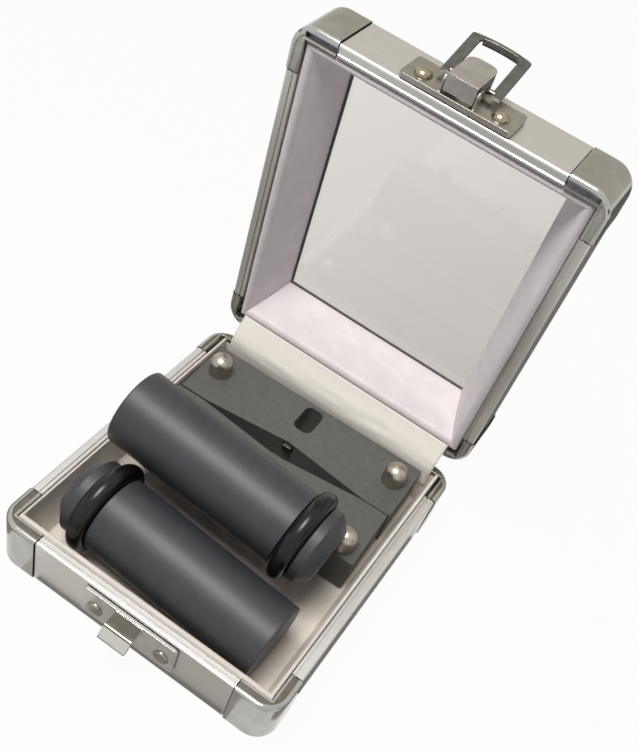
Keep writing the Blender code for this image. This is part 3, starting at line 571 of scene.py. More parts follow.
# Lands on a rim, from outside in, as (inward, drop below the rim).
PLAIN_LAND = [(1.0, 0)]
FINE_GROOVE = [(1.0, 0), (2.45, 0), (2.55, 0.45), (2.8, 0.45), (2.9, 0), (3.1, 0)]
LATCH_LANDS = [(1.0, 0), (1.25, 0), (1.35, 0.3), (1.65, 0.3), (1.75, 0), (2.95, 0), (3.02, 0.4), (3.2, 0.4),
               (3.3, 0)]
LID_CHANNEL = [(0.9, 0), (0.98, 0.05), (1.15, 0.4), (2.75, 0.4), (2.9, 0.1), (3.0, 0)]


def finish_ends(shape, layer):
    """Give the two end caps, which a skin makes last, another of the piece's finishes."""
    shape.faces.ensure_lookup_table()
    for face in shape.faces[-2:]:
        face.material_index = layer


def build_rail(name, height, place, side, lengthwise, ends, rim, lands, run_axis):
    """lengthwise rails run from front to back; ends are the rail's limits along its run."""
    section = rail_section(height, rim, lands)
    shape = skin([[wall_point(place, side, lengthwise, u, end, v) for u, v in section] for end in ends])
    # The end caps get the seam's painted shade.
    finish_ends(shape, 1)
    return finished(name + "_extrusion", shape, ALUMINIUM[run_axis], body_of_node[name],
                    [name], extra=[SEAM_END_PAINTED_SHADE])


reach = (CORNER + SEAM - HALF_W, HALF_W - CORNER - SEAM)
front_end = -HALF_D + CORNER + SEAM
base_span = (front_end, HALF_D - CORNER - SEAM)
lid_span = (front_end, HALF_D - LID_HINGE_CORNER - SEAM)
HALVES = {"base": (BASE_HEIGHT, base_place), "lid": (LID_HEIGHT, lid_place)}
# Side, whether it runs front to back, limits of the run, rim, lands, and the axis of the brushing.
RAILS = {
    "base_rail_front": (-1, False, reach, RIM, LATCH_LANDS, 0),
    "base_rail_back": (1, False, reach, HINGE_RIM, PLAIN_LAND, 0),
    "lid_rail_front": (-1, False, reach, RIM, LID_CHANNEL, 0),
    "lid_rail_back": (1, False, reach, HINGE_RIM, PLAIN_LAND, 0),
    "base_rail_left": (-1, True, base_span, RIM, FINE_GROOVE, 1),
    "lid_rail_left": (-1, True, lid_span, RIM, FINE_GROOVE, 2),
    "base_rail_right": (1, True, base_span, RIM, FINE_GROOVE, 1),
    "lid_rail_right": (1, True, lid_span, RIM, FINE_GROOVE, 2),
}
rails = [build_rail(name, *HALVES[name.split("_")[0]], *how) for name, how in RAILS.items()]
print("rails", len(rails))

# %% [markdown]
# ## Corner castings
# A casting caps each corner. It stands half a millimetre proud of the rails, is round outside and square
# inside, and has a full rounded shoulder. Sweeping one section round a corner path keeps the shoulder even.
# On the rim it has a sunk land of a duller finish, which on the tray is also a painted dark reflection. The
# lid's two latch corners carry on the rail's channel as a slot, which a boolean cut makes with walls
# painted darker
# and cooler than the plate: painted shade and a painted cool reflection.

# %% Corner castings
CORNER_RADIUS = 7.0
CORNER_STEPS = 12
PROUD = 0.5
RISE = 0.2
LAND_DROP = 0.25
SLOT_INWARD = (1.25, 2.85)
SLOT_ALONG = (35.0, 46.3)
SLOT_DEPTH = 1.3
SLOT_OVERRUN = 2.0
FOOT_EDGE = (0.5, 0.9)
SHOULDER = (0.9, 1.4)
WALL_CLEAR = (0.4, 0.5)
LAND_START = 1.1
LAND_BEVEL = 0.1
BEAD_WIDTH = 0.9
BEAD_DROP = 0.05
INNER_EDGE = 0.3
CASTING_FLANGE = 1.6
INNER_CORNER = 0.6


def casting_section(height, rim):
    """Section as (inward, height), and which of its sides is the sunken land on the rim."""
    top = height + RISE
    section = arc(FOOT_EDGE, (FOOT_EDGE[0] + PROUD, FOOT_EDGE[1]), 270, 180, 4)
    section += [(-PROUD, FOOT_EDGE[1] + WALL_CLEAR[0]), (-PROUD, top - SHOULDER[1] - WALL_CLEAR[1])]
    section += arc((SHOULDER[0], top - SHOULDER[1]), (SHOULDER[0] + PROUD, SHOULDER[1]), 180, 90, 7)
    land = len(section) + 1
    section += [(LAND_START, top), (LAND_START + LAND_BEVEL, top - LAND_DROP),
                (rim - BEAD_WIDTH - LAND_BEVEL, top - LAND_DROP), (rim - BEAD_WIDTH, top - BEAD_DROP)]
    section += arc((rim - INNER_EDGE, top - INNER_EDGE), (INNER_EDGE, INNER_EDGE), 110, 0, 4)
    section += [(rim, top - CASTING_FLANGE), (WEB, top - CASTING_FLANGE), (WEB, FLANGE), (FOOT, FLANGE),
                (FOOT, 0.0)]
    return section, land


def corner_point(side_x, side_y, angle, inward):
    """A point on the bend: round for the outer wall, almost square for what lies inside it."""
    radius = CORNER_RADIUS - inward if inward <= WEB else INNER_CORNER
    x = HALF_W - inward - radius + radius * math.sin(angle)
    y = HALF_D - inward - radius + radius * math.cos(angle)
    return side_x * x, side_y * y


def build_casting(name, height, place, side_x, side_y, run, rim, land_material, end_material):
    """run is the casting's length along the side wall; both of its ends are flat."""
    section, land = casting_section(height, rim)
    start = side_x * (HALF_W - CORNER)
    finish = side_y * (HALF_D - run)
    rings = [[wall_point(place, side_y, False, u, start, v) for u, v in section]]
    for step in range(CORNER_STEPS + 1):
        angle = math.pi / 2 * step / CORNER_STEPS
        rings.append([place(*corner_point(side_x, side_y, angle, u), v) for u, v in section])
    rings.append([wall_point(place, side_x, True, u, finish, v) for u, v in section])
    shape = skin(rings)
    # The end caps take the given end material: on most castings, the seam's painted shade.
    finish_ends(shape, 2)
    # The sunk land takes the given land material: on the tray, a painted dark reflection.
    for i in range(land, len(shape.faces) - 2, len(section)):
        shape.faces[i].material_index = 1
    return finished(name + "_casting", shape, CASTING, body_of_node[name], [name],
                    extra=[land_material, end_material])


SIDES = (("left", -1), ("right", 1))
castings = {}
for end, side_y in (("front", -1), ("back", 1)):
    at_front = side_y < 0
    rim = RIM if at_front else HINGE_RIM
    lid_run = CORNER if at_front else LID_HINGE_CORNER
    # At the front, the tray castings' ends get the seam's painted shade.
    base_ends = SEAM_END_PAINTED_SHADE if at_front else CASTING
    for label, side_x in SIDES:
        name = "base_corner_" + end + "_" + label
        castings[name] = build_casting(name, BASE_HEIGHT, base_place, side_x, side_y, CORNER, rim,
                                       TRAY_LAND_PAINTED_DARK, base_ends)
        name = "lid_corner_" + end + "_" + label
        castings[name] = build_casting(name, LID_HEIGHT, lid_place, side_x, side_y, lid_run, rim,
                                       LID_LAND, SEAM_END_PAINTED_SHADE)

near, far = SLOT_INWARD
for label, side_x in SIDES:
    low, high = sorted(side_x * x for x in SLOT_ALONG)
    plan = [(low, near), (high, near), (high, far), (low, far)]
    levels = (LID_HEIGHT - SLOT_DEPTH, LID_HEIGHT + SLOT_OVERRUN)
    block = skin([[lid_place(x, -HALF_D + u, v) for x, u in plan] for v in levels])
    # The cut walls take the cutter's material: painted shade and a painted cool reflection.
    cutter = mesh_object("rim_slot", block, [SLOT_PAINTED_COOL_SHADE])
    casting = castings["lid_corner_front_" + label]
    cut = casting.modifiers.new("rim_slot", "BOOLEAN")
    cut.operation = "DIFFERENCE"
    cut.object = cutter
    cut.solver = "EXACT"
    cut.material_mode = "TRANSFER"
    baked(casting)
    bpy.data.objects.remove(cutter)
print("castings", len(castings))

# %% [markdown]
# ## Latch, keeper and hinge
# These are pressed sheet parts. Their solids already have the right outline, so each one is copied, merged
# and given a small rounded edge, which is what catches the light on real pressings. The hook's upper face
# gets a darker and glossier finish: the gloss is real, the darkness a painted dark reflection.

# %% Pressed parts
HOOK_OUT = 1.4
FACES_UP = 0.8
# Edge radius, finish, slot and, for thin leaves, fewer segments.
PRESSINGS = {
    "latch_plate": (0.45, PLATE_STEEL, "nickel_sheet"),
    "latch_lever": (0.5, LATCH_STEEL, "nickel_sheet"),
    "latch_lever_pin": (0.15, LATCH_STEEL, "nickel_sheet"),
    "keeper_plate": (0.35, KEEPER_STEEL, "nickel_sheet"),
    "hinge_leaf_base": (0.15, HINGE_STEEL, "hinge_steel", 2),
    "hinge_leaf_lid": (0.15, HINGE_STEEL, "hinge_steel", 2),
    "hinge_pin": (0.3, HINGE_STEEL, "hinge_steel"),
}
pressed = {node: eased(node, *how) for node, how in PRESSINGS.items()}
keeper = pressed["keeper_plate"].data
# Upward faces at the front of the hook take the painted dark reflection.
keeper.materials.append(HOOK_TOP_PAINTED_DARK)
for face in keeper.polygons:
    if face.normal.z > FACES_UP and face.center.y < -(HALF_D + HOOK_OUT) * MM:
        face.material_index = 1
print("pressed parts", len(pressed))

# %% [markdown]
# ## Bail
# The bail is the loop that hooks over the keeper. It is bent from one strip of sheet: two flat arms, round
# corners, and a thin end bar whose edge is folded down into a lip. Its outline is drawn in the bail's own
# plane, given a thickness and rounded edges, and then placed on its pivots in the lever.

# %% Bail
BAIL_PIVOT = (0, 67.398, 139.072)
BAIL_LEAN_DEG = -73.9
BAIL_PLACE = Matrix.Translation(BAIL_PIVOT) @ Matrix.Rotation(math.radians(BAIL_LEAN_DEG), 4, "X")
BAIL_OUTER = 9.4
BAIL_INNER = 6.1
BAIL_LENGTH = 17.2
BAIL_BAR = 1.1
BAIL_BOW = 0.9
BAIL_CORNER = 1.4
BAIL_TAIL = 1.5
BAIL_SHEET = 0.45
BAIL_EDGE = 0.22
INSIDE_DROP = 1.9
LIP_REACH = (0.2, 2.2)
LIP_BELOW_END = (0.9, 0.15)
LIP_END_CLEAR = 3.5
LIP_STEPS = 8
BAR_STATIONS = (5.0, 3.0, 1.0)
PIVOT_SPAN = (3.7, 7.2)
PIVOT_RADIUS = 0.85
PIVOT_SIDES = 20


def bowed(x, height, share=1.0):
    """The end bar bows outward a little in the middle."""
    return x, height - share * BAIL_BOW * (x / BAIL_OUTER) ** 2


def bail_outline():
    """Half the loop, outside then inside, and its mirror image."""
    shoulder = BAIL_LENGTH - BAIL_CORNER
    bend = arc((BAIL_OUTER - BAIL_CORNER, shoulder), (BAIL_CORNER, BAIL_CORNER), 0, 80, 6)
    outside = [(BAIL_OUTER, -BAIL_TAIL)]
    outside += [bowed(x, z, (z - shoulder) / BAIL_CORNER) for x, z in bend]
    outside += [bowed(x, BAIL_LENGTH) for x in BAR_STATIONS]
    inside = [bowed(x, BAIL_LENGTH - BAIL_BAR) for x in reversed(BAR_STATIONS[1:])]
    turn_at = (BAIL_INNER - BAIL_CORNER, BAIL_LENGTH - BAIL_BAR - INSIDE_DROP)
    inside += arc(turn_at, (BAIL_CORNER, BAIL_CORNER), 85, 0, 5)
    inside.append((BAIL_INNER, -BAIL_TAIL))
    far_outside = [(-x, z) for x, z in reversed(outside)]
    far_inside = [(-x, z) for x, z in reversed(inside)]
    return outside + far_outside + far_inside + inside


loop = skin([[BAIL_PLACE @ Vector((x, y, z)) for x, z in bail_outline()]
             for y in (-BAIL_SHEET, BAIL_SHEET)])
lip_half = BAIL_OUTER - LIP_END_CLEAR
lip_corners = ((0, 0), (1, 0), (1, 1), (0, 1))
lip_section = [(LIP_REACH[out], BAIL_LENGTH - LIP_BELOW_END[end]) for out, end in lip_corners]
lip_stations = [lip_half * (2 * i / LIP_STEPS - 1) for i in range(LIP_STEPS + 1)]
lip = skin([[BAIL_PLACE @ Vector((x, y, bowed(x, z)[1])) for y, z in lip_section] for x in lip_stations])
sideways = Matrix.Rotation(math.pi / 2, 4, "Y")
pivots = [turned([(PIVOT_RADIUS, side * along) for along in PIVOT_SPAN], PIVOT_SIDES, BAIL_PLACE @ sideways)
          for side in (-1, 1)]
bail = finished("latch_bail_strip", joined(loop, lip, *pivots), BAIL_STEEL, body_of_node["latch_bail"],
                ["latch_bail"], ALL_SMOOTH_DEG)
rounded_over(bail, BAIL_EDGE)
print("bail faces", len(bail.data.polygons))

# %% [markdown]
# ## Rivets
# Rivets repeat, so one Geometry Nodes tree makes them: a squashed ball, flattened below, placed on each
# point and turned to face the way the point says. Each group has its own head radius and rise.

# %% Rivets
HEAD_SEGMENTS = 32
HEAD_RINGS = 18
HEAD_FOOT = -0.12
HEAD_SMOOTH_DEG = 40.0
RIVET_GAP = 0.3


def rivet_tree():
    """Points in, rivet heads out, with the head's radius, rise and finish as inputs."""
    tree = bpy.data.node_groups.new("rivet_heads", "GeometryNodeTree")
    sockets = (("Points", "NodeSocketGeometry"), ("Head radius", "NodeSocketFloat"),
               ("Head rise", "NodeSocketFloat"), ("Finish", "NodeSocketMaterial"))
    for label, kind in sockets:
        tree.interface.new_socket(label, in_out="INPUT", socket_type=kind)
    tree.interface.new_socket("Rivets", in_out="OUTPUT", socket_type="NodeSocketGeometry")
    given = add(tree, "NodeGroupInput")
    ball = add(tree, "GeometryNodeMeshUVSphere", {"Segments": HEAD_SEGMENTS, "Rings": HEAD_RINGS})
    where = add(tree, "GeometryNodeInputPosition")
    split = add(tree, "ShaderNodeSeparateXYZ", None, {"Vector": where.outputs["Position"]})
    floor = add(tree, "ShaderNodeMath", {"operation": "MAXIMUM", 1: HEAD_FOOT}, {0: split.outputs["Z"]})
    flat = add(tree, "ShaderNodeCombineXYZ", None,
               {"X": split.outputs["X"], "Y": split.outputs["Y"], "Z": floor.outputs["Value"]})
    dome = add(tree, "GeometryNodeSetPosition", None, {"Geometry": ball.outputs["Mesh"],
                                                       "Position": flat.outputs["Vector"]})
    size = add(tree, "ShaderNodeCombineXYZ", None, {"X": given.outputs["Head radius"],
                                                    "Y": given.outputs["Head radius"],
                                                    "Z": given.outputs["Head rise"]})
    head = add(tree, "GeometryNodeTransform", None, {"Geometry": dome.outputs["Geometry"],
                                                     "Scale": size.outputs["Vector"]})
    facing = add(tree, "GeometryNodeInputNamedAttribute", {"data_type": "FLOAT_VECTOR", "Name": "facing"})
    aim = add(tree, "FunctionNodeAlignRotationToVector", {"axis": "Z"},
              {"Vector": facing.outputs["Attribute"]})
    spread = add(tree, "GeometryNodeInstanceOnPoints", None, {"Points": given.outputs["Points"],
                                                              "Instance": head.outputs["Geometry"],
                                                              "Rotation": aim.outputs["Rotation"]})
    whole = add(tree, "GeometryNodeRealizeInstances", None, {"Geometry": spread.outputs["Instances"]})
    coat = add(tree, "GeometryNodeSetMaterial", None, {"Geometry": whole.outputs["Geometry"],
                                                       "Material": given.outputs["Finish"]})
    result = add(tree, "NodeGroupOutput")
    tree.links.new(coat.outputs["Geometry"], result.inputs["Rivets"])
    return tree


RIVET_TREE = rivet_tree()
RIVET_SOCKETS = [item for item in RIVET_TREE.interface.items_tree if item.in_out == "INPUT"]
RIVET_INPUTS = {item.name: item.identifier for item in RIVET_SOCKETS}


def build_rivets(name, nodes, facing, radius_mm, rise_mm, material, slot):
    """Rivet heads where the solids of these nodes are, sunk by the gap under them."""
    mesh = bpy.data.meshes.new(name)
    points = []
    for node in nodes:
        low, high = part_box(node)
        points.append((low + high) / 2 - facing * (rise_mm / 2 + RIVET_GAP) * MM)
    mesh.from_pydata(points, [], [])
    direction = mesh.attributes.new("facing", "FLOAT_VECTOR", "POINT")
    direction.data.foreach_set("vector", list(facing) * len(points))
    piece = linked(name, mesh)
    maker = piece.modifiers.new("rivets", "NODES")
    maker.node_group = RIVET_TREE
    maker[RIVET_INPUTS["Head radius"]] = radius_mm * MM
    maker[RIVET_INPUTS["Head rise"]] = rise_mm * MM
    maker[RIVET_INPUTS["Finish"]] = material
    baked(piece)
    piece.data.shade_smooth()
    piece.data.set_sharp_from_angle(angle=math.radians(HEAD_SMOOTH_DEG))
    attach(piece, body_of_node[nodes[0]])
    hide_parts(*nodes)
    return piece


base_front = Vector((0, -1, 0))
lid_front = (LID_TURN.to_3x3() @ base_front).normalized()
leaf_rivets = {half: ["hinge_rivet_" + half + "_" + str(i) for i in (1, 2, 3)] for half in ("base", "lid")}
# Solids, the way the heads face, head radius, rise, finish and slot.
RIVETS = {
    "latch_rivets": (["latch_rivet_left", "latch_rivet_right"], lid_front, 2.7, 1.8, RIVET_NICKEL,
                     "rivet_nickel"),
    "keeper_rivets": (["keeper_rivet_left", "keeper_rivet_right"], base_front, 2.7, 1.1, KEEPER_NICKEL,
                      "rivet_nickel"),
    "hinge_base_rivets": (leaf_rivets["base"], -base_front, 1.7, 0.9, HINGE_STEEL, "hinge_steel"),
    "hinge_lid_rivets": (leaf_rivets["lid"], -lid_front, 1.7, 0.9, HINGE_STEEL, "hinge_steel"),
}
groups = [build_rivets(name, *how) for name, how in RIVETS.items()]
print("rivet groups", [len(group.data.polygons) for group in groups])

# %% [markdown]
# ## Plugs and O-rings
# Each plug is turned from bar in one piece: a long plain shank, a groove for the O-ring and a short nose
# with a chamfer. A profile spun about the axis makes it, with small rounded edges. The turning marks need
# to know how far along the axis a point is, so that distance is stored on the mesh.

# %% Plugs
PLUG_RADIUS = 13.0
PLUG_LENGTH = 75.5
NOSE_DROP = 4.0
NOSE_RUN = 3.6
RING_STATION = 65.4
RING_SECTION = 3.0
RING_STEPS = 24
PLUG_SIDES = 96
AXIS_GAP = 0.2
GROOVE_CLEAR = 0.3
END_ROUND = 0.4
GROOVE_ROUND = 0.2
FACE_CLEAR = 0.3
NOSE_EASE = 0.2
# Where the plain end's centre is, and how the axis runs from there as (azimuth, elevation).
PLUGS = {"plug_1": ((-40.5, -7.4, 35.5), (-1.0, -4.5)), "plug_2": ((36.2, -36.1, 15.9), (177.4, 2.8))}


def plug_matrix(end, aim_deg):
    """Carries a plug drawn upright, its plain end at the origin, to where it lies."""
    azimuth, elevation = (math.radians(angle) for angle in aim_deg)
    aim = Vector((math.cos(azimuth) * math.cos(elevation), math.sin(azimuth) * math.cos(elevation),
                  math.sin(elevation)))
    return Matrix.Translation(end) @ aim.to_track_quat("Z", "Y").to_matrix().to_4x4()


def spun(centre, radius, start_deg, end_deg, steps):
    """A rounded edge of the profile, about a centre given as (along the axis, radius)."""
    return [(r, z) for z, r in arc(centre, (radius, radius), start_deg, end_deg, steps)]


def plug_profile():
    """Half section as (radius, along): plain end, shank, groove, shoulder and chamfered nose."""
    seat = PLUG_RADIUS - RING_SECTION - GROOVE_CLEAR
    low = RING_STATION - RING_SECTION - GROOVE_CLEAR
    high = RING_STATION + RING_SECTION + GROOVE_CLEAR
    nose = PLUG_LENGTH - NOSE_RUN
    tip = PLUG_RADIUS - NOSE_DROP
    profile = [(AXIS_GAP, 0.0), (PLUG_RADIUS - END_ROUND - FACE_CLEAR, 0.0)]
    profile += spun((END_ROUND, PLUG_RADIUS - END_ROUND), END_ROUND, 180, 90, 3)
    profile += [(PLUG_RADIUS, 2 * END_ROUND), (PLUG_RADIUS, low - GROOVE_ROUND - FACE_CLEAR)]
    profile += spun((low - GROOVE_ROUND, PLUG_RADIUS - GROOVE_ROUND), GROOVE_ROUND, 90, 0, 2)
    profile += [(seat, low), (seat, high)]
    profile += spun((high + GROOVE_ROUND, PLUG_RADIUS - GROOVE_ROUND), GROOVE_ROUND, 180, 90, 2)
    profile += [(PLUG_RADIUS, nose - NOSE_EASE), (PLUG_RADIUS - NOSE_EASE, nose + NOSE_EASE / 2),
                (tip + NOSE_EASE, PLUG_LENGTH - NOSE_EASE), (tip - NOSE_EASE, PLUG_LENGTH),
                (AXIS_GAP, PLUG_LENGTH)]
    return profile


def ring_shape(matrix):
    """The O-ring in its groove: a circle carried once round the plug."""
    last_deg = 360 - 360 / RING_STEPS
    section = arc((PLUG_RADIUS, RING_STATION), (RING_SECTION, RING_SECTION), 0, last_deg, RING_STEPS - 1)
    rings = []
    for i in range(PLUG_SIDES):
        a = 2 * math.pi * i / PLUG_SIDES
        rings.append([matrix @ Vector((r * math.cos(a), r * math.sin(a), z)) for r, z in section])
    return skin(rings, loop=True)


for name, (end, aim_deg) in PLUGS.items():
    matrix = plug_matrix(end, aim_deg)
    bar = turned(plug_profile(), PLUG_SIDES, matrix)
    plug = finished(name + "_turning", bar, PLUG_PVC, name, [name + "_body"])
    axis = matrix.to_3x3() @ Vector((0, 0, 1))
    start = Vector(end) * MM
    along = plug.data.attributes.new("along_axis", "FLOAT", "POINT")
    along.data.foreach_set("value", [(vert.co - start).dot(axis) for vert in plug.data.vertices])
    seal = ring_shape(matrix)
    finished(name + "_seal_ring", seal, O_RING_RUBBER, name, [name + "_o_ring"])
print("plugs", list(PLUGS))

# %% [markdown]
# ## Jaw plates, pegs and contact blocks
# The jaw plates are milled, so they keep their solids' shape with a fine broken edge. The pegs are turned
# steel pins with a rounded top, set in the plates, and a small metal block sits at the root of each notch.

# %% Jaw plates
PEG_RADIUS = 4.0
PEG_RISE = 7.9
PEG_DOME = 3.4
PEG_SINK = 0.3
PEG_SIDES = 48
STEM_RADIUS = 2.3
STEM_DEPTH = 8.0
PLATE_EDGE = 0.25
FOOT_BEVEL = 0.2
FOOT_LEVELS = (-0.1, 0.15)
BLOCK_EDGE = 0.3

peg_profile = [(STEM_RADIUS, -STEM_DEPTH), (STEM_RADIUS, FOOT_LEVELS[0]),
               (PEG_RADIUS - FOOT_BEVEL, FOOT_LEVELS[0]), (PEG_RADIUS, FOOT_LEVELS[1])]
peg_profile += arc((0.0, PEG_RISE - PEG_DOME), (PEG_RADIUS, PEG_DOME), 0, 88, 14)
for name in ("jaw_1", "jaw_2"):
    eased(name + "_plate", PLATE_EDGE, JAW_PVC, "grey_jaw_plastic", 2)
    eased(name + "_contact_block", BLOCK_EDGE, CONTACT_NICKEL, "nickel_peg")
    for label in ("left", "right"):
        node = name + "_peg_" + label
        low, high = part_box(node)
        bottom = high.z - (PEG_RISE + PEG_SINK) * MM
        foot = Vector(((low.x + high.x) / 2, (low.y + high.y) / 2, bottom)) / MM
        pin = turned(peg_profile, PEG_SIDES, Matrix.Translation(foot))
        finished(node + "_pin", pin, PEG_NICKEL, name, [node])
print("peg profile points", len(peg_profile))

# %% [markdown]
# ## Window, seal and bottom sheet
# The window is a plain flat sheet, so the solid itself is right and only gets its material. Clear acrylic
# lets the light through, so it casts no shadow on what lies under it. A dark rubber bead runs along its
# hinge side and its left side, where the lining board stops.

# %% Flat sheets
WINDOW_FACE = 3.5
WINDOW_SIDE = 13.8
WINDOW_FRONT = 11.5
WINDOW_BACK = 17.0
SEAL_WIDTH = 1.1
SEAL_RISE = 0.5
SEAL_LIFT = 0.05
SEAL_LAP = 0.2
SEAL_SMOOTH_DEG = 30.0

for node, material in (("lid_window", ACRYLIC), ("base_bottom_pan", BOTTOM_SHEET)):
    slots = frame["nodes"][node].data.materials
    slots.clear()
    slots.append(material)
frame["nodes"]["lid_window"].visible_shadow = False

seal_right = HALF_W - WINDOW_SIDE
seal_back = HALF_D - WINDOW_BACK
seal_front = -HALF_D + WINDOW_FRONT
seal_section = arc((SEAL_WIDTH / 2, WINDOW_FACE + SEAL_LIFT), (SEAL_WIDTH / 2, SEAL_RISE), 0, 180, 8)
hinge_bead = [[lid_place(x, seal_back - across + SEAL_LAP, v) for across, v in seal_section]
              for x in (-seal_right, seal_right)]
left_bead = [[lid_place(across - seal_right - SEAL_LAP, y, v) for across, v in seal_section]
             for y in (seal_front, seal_back - SEAL_WIDTH)]
for name, rings in (("window_seal_hinge_side", hinge_bead), ("window_seal_left", left_bead)):
    finished(name, skin(rings), SEAL_RUBBER, "lid", smooth_deg=SEAL_SMOOTH_DEG)
print("window sealed")

# %% [markdown]
# ## Padded lid lining
# The lid is lined with flock over soft board that slopes from the rim down to the window, like a shallow
# funnel. Each of the four panels has a rolled lip at the rim and a gentle crown, and meets its neighbours
# in a mitred crease. Cloth simulation is the usual way to a pad, but here the board under the cloth fixes
# the form. So the panels are dense grids, in which the crown, the pull-in at the corners and the small
# ripples are real shape.

# %% Lid lining
LINING_BACK = 4.15
LIP_INSET = 5.2
LIP = 1.6
LIP_TOP = 18.4
LINING_FOOT = 3.85
RUN_STEPS = 90
SLOPE_STEPS = 22
CROWN_INWARD = 0.45
CROWN_UP = 0.3
LIP_FREEDOM = 0.3
MITRE_GAP = 0.03
CORNER_PULL = 0.12
PULL_POWER = 6
SIDE_SHIFT = 50
TURN_SHIFT = 100
SLOPE_STRETCH = 3
FINE_SHIFT = 31.0
CLOSE_TO_ENDS = 0.35
LIFT_INWARD = 0.86
LIFT_UP = 0.5
# Height and spacing of the ripples.
BROAD_RIPPLE = (0.22, 14.0)
FINE_RIPPLE = (0.07, 5.0)
PAD_SMOOTH_DEG = 50.0


def lining_profile():
    """(inset, v, freedom to move) from the outer face over the lip and down the slope to the window."""
    profile = [(LINING_BACK, LINING_FOOT, 0.0)]
    lip = arc((LINING_BACK + LIP, LIP_TOP - LIP), (LIP, LIP), 180, 10, 10)
    profile += [(u, v, LIP_FREEDOM) for u, v in lip]
    top_u, top_v = lip[-1]
    for i in range(1, SLOPE_STEPS + 1):
        t = i / SLOPE_STEPS
        crown = math.sin(math.pi * t)
        u = top_u + (WINDOW_SIDE - top_u) * t + CROWN_INWARD * crown
        v = top_v + (LINING_FOOT - top_v) * t + CROWN_UP * crown
        profile.append((u, v, LIP_FREEDOM + (1 - LIP_FREEDOM) * crown))
    return profile


def end_inset(u, foot):
    """The mitre: how far in from an end wall a point lies that is this far in from the side walls."""
    if u <= LIP_INSET:
        return u
    return LIP_INSET + (u - LIP_INSET) * (foot - LIP_INSET) / (WINDOW_SIDE - LIP_INSET)


def ripple(x, y, z):
    """Soft unevenness of cloth over board, in millimetres."""
    broad = noise.noise(Vector((x, y, z)) / BROAD_RIPPLE[1])
    fine = noise.noise(Vector((x + FINE_SHIFT, y, z)) / FINE_RIPPLE[1])
    return BROAD_RIPPLE[0] * broad + FINE_RIPPLE[0] * fine


def build_lid_panel(label, side, lengthwise):
    """One padded panel, its stations set closer towards the corners, where it is pulled in."""
    rings = []
    for i in range(RUN_STEPS + 1):
        t = 2 * i / RUN_STEPS - 1
        t = math.sin(t * math.pi / 2) * CLOSE_TO_ENDS + t * (1 - CLOSE_TO_ENDS)
        pull = CORNER_PULL * t ** PULL_POWER
        ring = []
        for u, v, freedom in lining_profile():
            at_front = t < 0 if lengthwise else side < 0
            across = end_inset(u, WINDOW_FRONT if at_front else WINDOW_BACK)
            if lengthwise:
                depth, reach_end = u, HALF_D - across - MITRE_GAP
            else:
                depth, reach_end = across, HALF_W - u - MITRE_GAP
            run = t * reach_end
            uneven = ripple(run + SIDE_SHIFT * side, depth * SLOPE_STRETCH,
                            v * SLOPE_STRETCH + TURN_SHIFT * lengthwise)
            lift = freedom * (uneven - pull)
            ring.append(wall_point(lid_place, side, lengthwise, depth + lift * LIFT_INWARD, run,
                                   v + lift * LIFT_UP))
        rings.append(ring)
    node = "lid_lining_" + label
    panel = finished(node + "_pad", skin(rings), LID_FLOCK, "lid", [node], PAD_SMOOTH_DEG)
    return panel


lid_panels = [build_lid_panel("left", -1, True), build_lid_panel("right", 1, True),
              build_lid_panel("front", -1, False), build_lid_panel("back", 1, False)]
print("lid panels", [len(panel.data.polygons) for panel in lid_panels])

# %% [markdown]
# ## Tray lining
# In the tray the padded boards stand against the walls: a rolled top edge under the rail's bead, then a
# cove that flares out onto the floor, with small gathers in the corners. Beside the jaw plates the left
# board is pressed thin. The boards are stiff under their cloth, so grids with ripples and folds give them
# their shape.

# %% Tray lining
TRAY_FOOT = 2.2
TRAY_TOP = 19.0
BACK_TOP = 17.3
BACK_INSET = 2.15
JAW_SIDE_START = -3.0
COVE_STEPS = 18
COVE_CURVE = 2.2
ROLL_FREEDOM = 0.1
FOLD_DEPTH = 0.35
FOLD_REACH = 7.0
FOLDS_PER_MM = 1.5
SOFTEST = 0.5
SOFT_REACH = 6
RIPPLE_GAIN = 2
DEPTH_STRETCH = 2
BOARD_SHIFT = 40


def tray_profile(outer, roll, cove, top):
    """Closed section of a padded board as (inset, z, freedom): rolled top edge, then a cove."""
    half = roll / 2
    section = [(outer, TRAY_FOOT, 0.0), (outer, top - half, 0.0)]
    rolled = arc((outer + half, top - half), (half, half), 160, 10, 8)
    section += [(u, z, ROLL_FREEDOM) for u, z in rolled]
    for i in range(1, COVE_STEPS + 1):
        t = i / COVE_STEPS
        inset = outer + roll + (cove - roll) * t ** COVE_CURVE
        section.append((inset, top - half + (TRAY_FOOT - top + half) * t, math.sin(math.pi * t) ** 0.5))
    return section


def gathers(distance):
    """Small folds where a board is tucked into a corner."""
    return FOLD_DEPTH * math.exp(-(distance / FOLD_REACH) ** 2) * math.sin(FOLDS_PER_MM * distance)


def build_tray_board(label, side, outer, roll, cove, top, limits, lengthwise):
    """One padded board along a wall; cove gives how far it reaches in at each station of its run."""
    rings = []
    for i in range(RUN_STEPS + 1):
        run = limits[0] + (limits[1] - limits[0]) * i / RUN_STEPS
        reach_in = cove(run)
        soft = min(SOFTEST, reach_in / SOFT_REACH)
        fold = gathers(run - limits[0]) + gathers(limits[1] - run)
        ring = []
        for u, z, freedom in tray_profile(outer, roll, reach_in, top):
            uneven = RIPPLE_GAIN * ripple(run, u * DEPTH_STRETCH + BOARD_SHIFT * side, z)
            depth = u + freedom * soft * (uneven + fold)
            ring.append(wall_point(base_place, side, lengthwise, depth, run, z))
        rings.append(ring)
    node = "base_lining_" + label
    board = finished(node + "_pad", skin(rings), TRAY_FLOCK, "base", [node], PAD_SMOOTH_DEG)
    return board


PRESSED_ROLL = 0.75
LEFT_COVE_GAIN = 2.6
LEFT_COVE_EASE = 12.0


